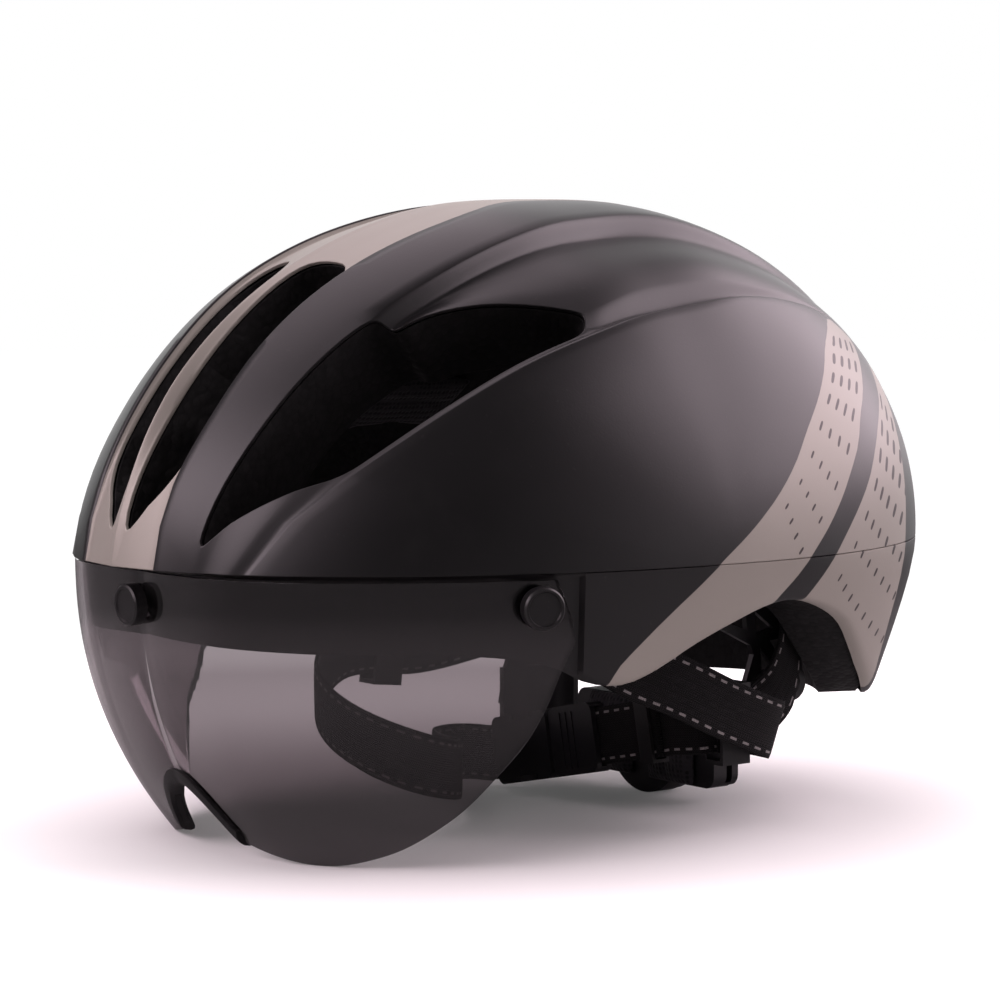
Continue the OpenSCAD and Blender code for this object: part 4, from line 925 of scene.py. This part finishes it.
def swell(piece, seat_points, voxel, cap):
    """Remeshes a closed pad, lets air pressure swell it as cloth, and holds what lies on its seat."""
    scene = bpy.context.scene
    remesh = piece.modifiers.new("even_mesh", "REMESH")
    remesh.mode, remesh.voxel_size = "VOXEL", voxel * MM
    even = bpy.data.meshes.new_from_object(piece.evaluated_get(bpy.context.evaluated_depsgraph_get()))
    piece.modifiers.clear()
    even.materials.clear()
    even.materials.append(piece.data.materials[0])
    piece.data = even
    tree = tree_of(seat_points)
    held = [v.index for v in even.vertices if tree.find(v.co)[2] < SEAT_REACH * voxel * MM]
    group = piece.vertex_groups.new(name="seat")
    group.add(held, 1.0, "REPLACE")
    before = [v.co.copy() for v in even.vertices]
    cloth = piece.modifiers.new("swelling", "CLOTH")
    cloth.settings.quality = 5
    cloth.settings.use_pressure = True
    cloth.settings.uniform_pressure_force = AIR_PRESSURE
    cloth.settings.vertex_group_mass = "seat"
    cloth.settings.effector_weights.gravity = 0.0
    cloth.point_cache.frame_start, cloth.point_cache.frame_end = 1, SWELL_FRAMES
    for number in range(1, SWELL_FRAMES + 1):
        scene.frame_set(number)
    shape = piece.evaluated_get(bpy.context.evaluated_depsgraph_get()).to_mesh()
    after = [v.co.copy() for v in shape.vertices]
    piece.modifiers.clear()
    scene.frame_set(1)
    for v, old, new in zip(piece.data.vertices, before, after):
        step = new - old
        if step.length > cap * MM:
            step *= cap * MM / step.length
        v.co = old + step
    piece.vertex_groups.clear()


def press_seam(piece, line, deep, wide):
    """Draws the sewn channel in along a line of points."""
    tree = tree_of(line)
    normals = [v.normal.copy() for v in piece.data.vertices]
    for v, normal in zip(piece.data.vertices, normals):
        d = tree.find(v.co)[2] / MM
        v.co -= normal * deep * MM * math.exp(-(d / wide) ** 2)


def pad_sheet(place, nc, nr, seat, low, thick):
    cells_s, cells_t = [n / nc for n in range(nc + 1)], [n / nr for n in range(nr + 1)]

    def face(s, t):
        return place(s, t, seat + low + (thick - low) * crown_of(s, t))

    def back(s, t):
        return place(s, t, seat)

    return thick_sheet(cells_s, cells_t, face, back), face, [back(s, t) for s in cells_s for t in cells_t]


def finish_pad(piece, seat_points, line, voxel=1.7, cap=0.9):
    swell(piece, seat_points, voxel, cap)
    press_seam(piece, line, SEAM_DEEP, SEAM_WIDE)
    soft = piece.modifiers.new("smooth_cover", "SUBSURF")
    soft.levels = soft.render_levels = 1
    piece.data.shade_smooth()


def cushion(name, node, place, nc, nr, seat):
    """A soft pad: its back lies on its seat, its face is crowned, and one sewn channel runs along its middle."""
    bm, face, seat_points = pad_sheet(place, nc, nr, seat, EDGE_T, PAD_T)
    piece = finish_piece(bm, name, knit, "helmet", node, 0)
    if nc > nr:
        line = [face(n / 240, 0.5) for n in range(12, 229)]
    else:
        line = [face(0.5, n / 160) for n in range(8, 153)]
    finish_pad(piece, seat_points, line)


cushion("brow_cushion", "brow_pad", brow_place, 84, 12, 1.1)
cushion("crown_cushion", "crown_pad", crown_pad_place, 20, 40, 0.8)
for side, hand in ((1, "left"), (-1, "right")):
    cushion("side_cushion_" + hand, "side_pad_" + hand, side_pad_place(side), 18, 34, 0.8)


def nape_cushions():
    bm = bmesh.new()
    seat_points, line = [], []
    for side in (-1, 1):
        part, face, seats = pad_sheet(nape_place(side), 18, 18, 0.0, 1.0, 4.6)
        mesh = bpy.data.meshes.new("nape_part")
        part.to_mesh(mesh)
        part.free()
        bm.from_mesh(mesh)
        bpy.data.meshes.remove(mesh)
        seat_points += seats
        line += [face(0.5, n / 60) for n in range(6, 55)]
    piece = finish_piece(bm, "nape_cushions", knit, "helmet", "nape_pad", 0)
    finish_pad(piece, seat_points, line, 1.4, 0.6)


nape_cushions()

# ---- webbing ----
WEB_W, WEB_T = 18.0, 1.4
PLY = WEB_T + 0.5
UP = (0, 0, 1)
FOLD_UP = (0, 0.4, 1)
BUCKLE_Y, BUCKLE_Z, TILT = 20.0, 19.6, math.radians(12)
LINE_UP = (-math.sin(TILT), 0, math.cos(TILT))


def on_line(x, dy=0.0):
    """A point of the buckle's tilted middle line."""
    return (x * math.cos(TILT), BUCKLE_Y + dy, BUCKLE_Z + x * math.sin(TILT))


def run(*points, across=UP):
    """Stations of a strap: (a point of its middle, the direction across it)."""
    return [(point, across) for point in points]


# The dividers stand at these x, and a strap on either side of one is a ply away.
LEFT_X, RIGHT_X = 67, -70
LEFT_OUT, LEFT_IN, RIGHT_OUT = LEFT_X + PLY, LEFT_X - PLY, RIGHT_X - PLY
LAP_Y = BUCKLE_Y + PLY
LEFT_FRONT = (run((71, -34, 73), (71.8, -25, 62), (74.2, -12, 53.4), (77.2, 4, 46.6))
              + run((79, 20, 39), (79.6, 33, 33.6), (78.4, 40, 31.2), (75.6, 43, 30.4), (71.8, 41.2, 31),
                    across=FOLD_UP)
              + run((LEFT_OUT, 37.4, 32), (LEFT_OUT, 34, 32.4), (LEFT_OUT, 28, 32.6)))
LEFT_REAR = [((58.6, 68.6, 73), (0.58, -0.8, 0.05)), ((62.9, 61.8, 61), (0.26, -0.58, 0.76)),
    ((65, 58.5, 50), (0.12, -0.34, 0.93)), ((66.6, 53, 41), (0.02, -0.2, 0.98))]
LEFT_REAR += run((LEFT_X, 45, 35.6), (LEFT_X, 38, 33), (LEFT_X, 34, 32.6), (LEFT_X, 28, 32.6))
RIGHT_FRONT = run((-71, -34, 73), (-71.4, -25, 62), (RIGHT_OUT, -15, 53), (RIGHT_OUT, -6, 46.4), (RIGHT_OUT, 4, 45))
RIGHT_REAR = [((-58.6, 68.6, 73), (-0.58, -0.8, 0.05)), ((-62.9, 61.4, 61), (-0.26, -0.58, 0.76)),
    ((-66, 53.4, 51.6), (-0.06, -0.24, 0.97))]
RIGHT_REAR += run((-69, 36, 46.6), (RIGHT_X, 16, 44), (RIGHT_X, 0, 45.1))
CHIN_LEFT = (run((LEFT_IN, 40, 32.6), (LEFT_IN, 34, 32.6), (LEFT_IN, 26.6, 32.6), (63, LAP_Y + 1.4, 32.2))
             + run(on_line(54, PLY + 0.1), on_line(48, PLY), on_line(40, PLY), across=LINE_UP))
CHIN_RIGHT = (run((RIGHT_X + PLY, 7, 44.5), (RIGHT_X + PLY, -5, 45.8), (-64.6, -19, 45), (-52, -36, 40),
                  (-36, -48, 36), (-17, -54, 31), (2, -53, 26), (12, -43, 21), (8, -28, 17), (-8, -13, 14),
                  (-30, -4, 12.4), (-43, 3, 12), (-46.6, 12, 12))
              + run((-42, 18.6, 12), on_line(-35), on_line(-26), across=LINE_UP))
BUCKLE_PLY = run(on_line(20.6), on_line(50), across=LINE_UP)


def smooth_route(stations, steps):
    """Points and widthwise directions on a smooth line through the stations."""
    points = [Vector(p) for p, _ in stations]
    widths = [Vector(w) for _, w in stations]
    n = len(points) - 1
    route = []
    for k in range(n):
        a, b, c, d = points[max(0, k - 1)], points[k], points[k + 1], points[min(n, k + 2)]
        for m in range(steps + (1 if k == n - 1 else 0)):
            s = m / steps
            p = 0.5 * (2 * b + (c - a) * s + (2 * a - 5 * b + 4 * c - d) * s * s + (3 * b - a - 3 * c + d) * s ** 3)
            route.append((p, (widths[k] * (1 - s) + widths[k + 1] * s).normalized()))
    return route


def strap(name, node, stations, body="helmet", steps=6):
    """Flat woven tape along a route, slightly proud in its middle, with rounded selvedges."""
    route = smooth_route(stations, steps)
    n = len(route) - 1
    shares = mirrored([0, 0.25, 0.4, 0.47, 0.5])
    spans = [0.0]
    for k in range(n):
        spans.append(spans[-1] + (route[k + 1][0] - route[k][0]).length)

    def face(side):
        def place(c, share):
            i = round(c)
            along = (route[min(n, i + 1)][0] - route[max(0, i - 1)][0]).normalized()
            width = route[i][1]
            width = (width - along * along.dot(width)).normalized()
            flat = along.cross(width)
            thin = 0.5 * WEB_T * math.sqrt(max(0.15, 1 - (abs(share) / 0.52) ** 8))
            return route[i][0] + width * WEB_W * share + flat * thin * side
        return place

    bm, c_layer, r_layer = grid_bmesh(range(n + 1), shares, face(1))
    thicken(bm, c_layer, r_layer, face(-1))
    bmesh.ops.remove_doubles(bm, verts=bm.verts[:], dist=MERGE)
    bm.verts.index_update()
    places = [(v[r_layer] * WEB_W, spans[round(v[c_layer])]) for v in bm.verts]
    piece = finish_piece(bm, name, webbing, body, node, 0)
    write_uv(piece, "weave", places)


strap("front_strap_left", "strap_front_left", LEFT_FRONT)
strap("rear_strap_left", "strap_rear_left", LEFT_REAR)
strap("front_strap_right", "strap_front_right", RIGHT_FRONT)
strap("rear_strap_right", "strap_rear_right", RIGHT_REAR)
strap("chin_webbing_left", "chin_strap_left", CHIN_LEFT)
strap("chin_webbing_right", "chin_strap_right", CHIN_RIGHT)
strap("buckle_webbing", "buckle_strap", BUCKLE_PLY, "buckle", 12)

# ---- carried-over nodes get their finishes ----
FINISHES = {
    plastic: ["cradle_housing", "cradle_cover", "cradle_hanger", "hanger_anchor", "dial_knob", "arm_left", "arm_right",
              "strap_anchors", "divider_left", "divider_right", "buckle_socket", "buckle_insert"],
    gear_plastic: ["dial_pinion"],
    cap_plastic: ["cap_front", "cap_left", "cap_right"],
    rubber: ["strap_keeper"],
    metal: ["lens_magnets", "shell_magnets", "dial_screw"],
}
for material, names in FINISHES.items():
    for name in names:
        mesh = nodes[name].data
        mesh.materials.clear()
        mesh.materials.append(material)


# ---- studio, in metres ----
FLOOR_HALF, REAR_WAY, CAMERA_WAY = 6, (0.34, 0.94, 0.0), (0.785, -0.616, 0.063)


def floor():
    """White paper: it keeps the shadow near the helmet and runs out into plain white. Away from the helmet its colour
    is painted dark, and darker still in reflections, as painted shade; its glow lifts it to white for the camera and
    through glass, lifts the shadow near the helmet a little, and in reflections shows only towards the rear as a
    painted reflection of light.
    """
    bm = bmesh.new()
    bmesh.ops.create_grid(bm, x_segments=1, y_segments=1, size=FLOOR_HALF)
    mesh = bpy.data.meshes.new("studio_floor")
    bm.to_mesh(mesh)
    bm.free()
    piece = new_object("studio_floor", mesh)
    material = bpy.data.materials.new("white_paper")
    material.use_nodes = True
    t = Tree(material.node_tree)
    material.node_tree.nodes.clear()
    place = t.place()
    away = t.node("ShaderNodeVectorMath", {0: place}, operation="LENGTH").outputs["Value"]
    path = t.node("ShaderNodeLightPath")
    # dim is painted shade: the paper's colour away from the helmet and in reflections.
    dim = (0.05, 0.05, 0.05, 1)
    paper = t.mix(t.step(away, 0.28, 0.5), (0.8, 0.79, 0.785, 1), dim)
    paper = t.mix(t.times(path.outputs["Is Glossy Ray"], 0.7), paper, dim)
    diffuse = t.node("ShaderNodeBsdfDiffuse", {"Color": paper})
    # In reflections the paper glows towards the rear only: a painted reflection of light.
    mirrored_light = t.step(t.dot(place, REAR_WAY), 0.3, 1.0, 0.03, 0.6)
    looked_at = t.math("MAXIMUM", path.outputs["Is Camera Ray"], path.outputs["Is Transmission Ray"])
    looked_at = t.math("MAXIMUM", looked_at, t.times(path.outputs["Is Glossy Ray"], mirrored_light))
    # A faint glow near the helmet is painted light in its shadow; further out the glow makes the paper white.
    lift = t.math("MAXIMUM", t.step(away, 0.1, 0.26, 0.07, 0.5), t.step(away, 0.24, 0.45))
    glow = t.node("ShaderNodeEmission", {"Color": (1, 1, 1, 1), "Strength": t.times(looked_at, lift)})
    both = t.node("ShaderNodeAddShader")
    t.feed(both.inputs[0], diffuse.outputs[0])
    t.feed(both.inputs[1], glow.outputs[0])
    out = t.node("ShaderNodeOutputMaterial")
    t.feed(out.inputs["Surface"], both.outputs[0])
    mesh.materials.append(material)


floor()


def lamp(name, place, aim, size, strength, color):
    """An area lamp. Its strength is the brightness of its face, where 1 is white."""
    data = bpy.data.lights.new(name, "AREA")
    data.shape = "RECTANGLE"
    data.size, data.size_y = size
    data.energy = strength * math.pi * size[0] * size[1]
    data.color = color
    light = new_object(name, data)
    light.location = place
    light.visible_camera = False
    light.rotation_euler = (Vector(place) - Vector(aim)).to_track_quat("Z", "Y").to_euler()
    return light


ROSE = (1.0, 0.83, 0.91)
lamp("overhead", (-0.59, 0.0, 1.22), (0, 0, 0.12), (1.5, 1.0), 1.5, ROSE)
lamp("rear", (0.464, 1.275, 0.842), (0.02, 0.05, 0.12), (2.2, 1.3), 4.0, ROSE)
lamp("front", (-0.28, -1.3, 0.82), (0, -0.05, 0.12), (1.9, 0.75), 4.7, ROSE)
# This one only brightens the ground and the matt surfaces, and isn't mirrored in the paint.
fill = lamp("fill", (0.15, -0.1, 1.7), (0, 0, 0), (2.2, 2.2), 1.25, (1.0, 0.95, 0.97))
fill.visible_glossy = False

world = bpy.data.worlds.new("white_room")
bpy.context.scene.world = world
world.use_nodes = True
t = Tree(world.node_tree)
world.node_tree.nodes.clear()
path = t.node("ShaderNodeLightPath")
way = t.node("ShaderNodeTexCoord").outputs["Generated"]
room = t.step(t.dot(way, CAMERA_WAY), -1.0, -0.58, 1.3, 0.05)
seen = t.math("MAXIMUM", path.outputs["Is Camera Ray"], path.outputs["Is Transmission Ray"])
level = t.math("ADD", seen, t.times(t.math("SUBTRACT", 1.0, seen), room))
sky = t.node("ShaderNodeBackground", {"Color": (1, 1, 1, 1), "Strength": level})
end = t.node("ShaderNodeOutputWorld")
t.feed(end.inputs["Surface"], sky.outputs[0])

scene = bpy.context.scene
scene.view_settings.view_transform = "Standard"
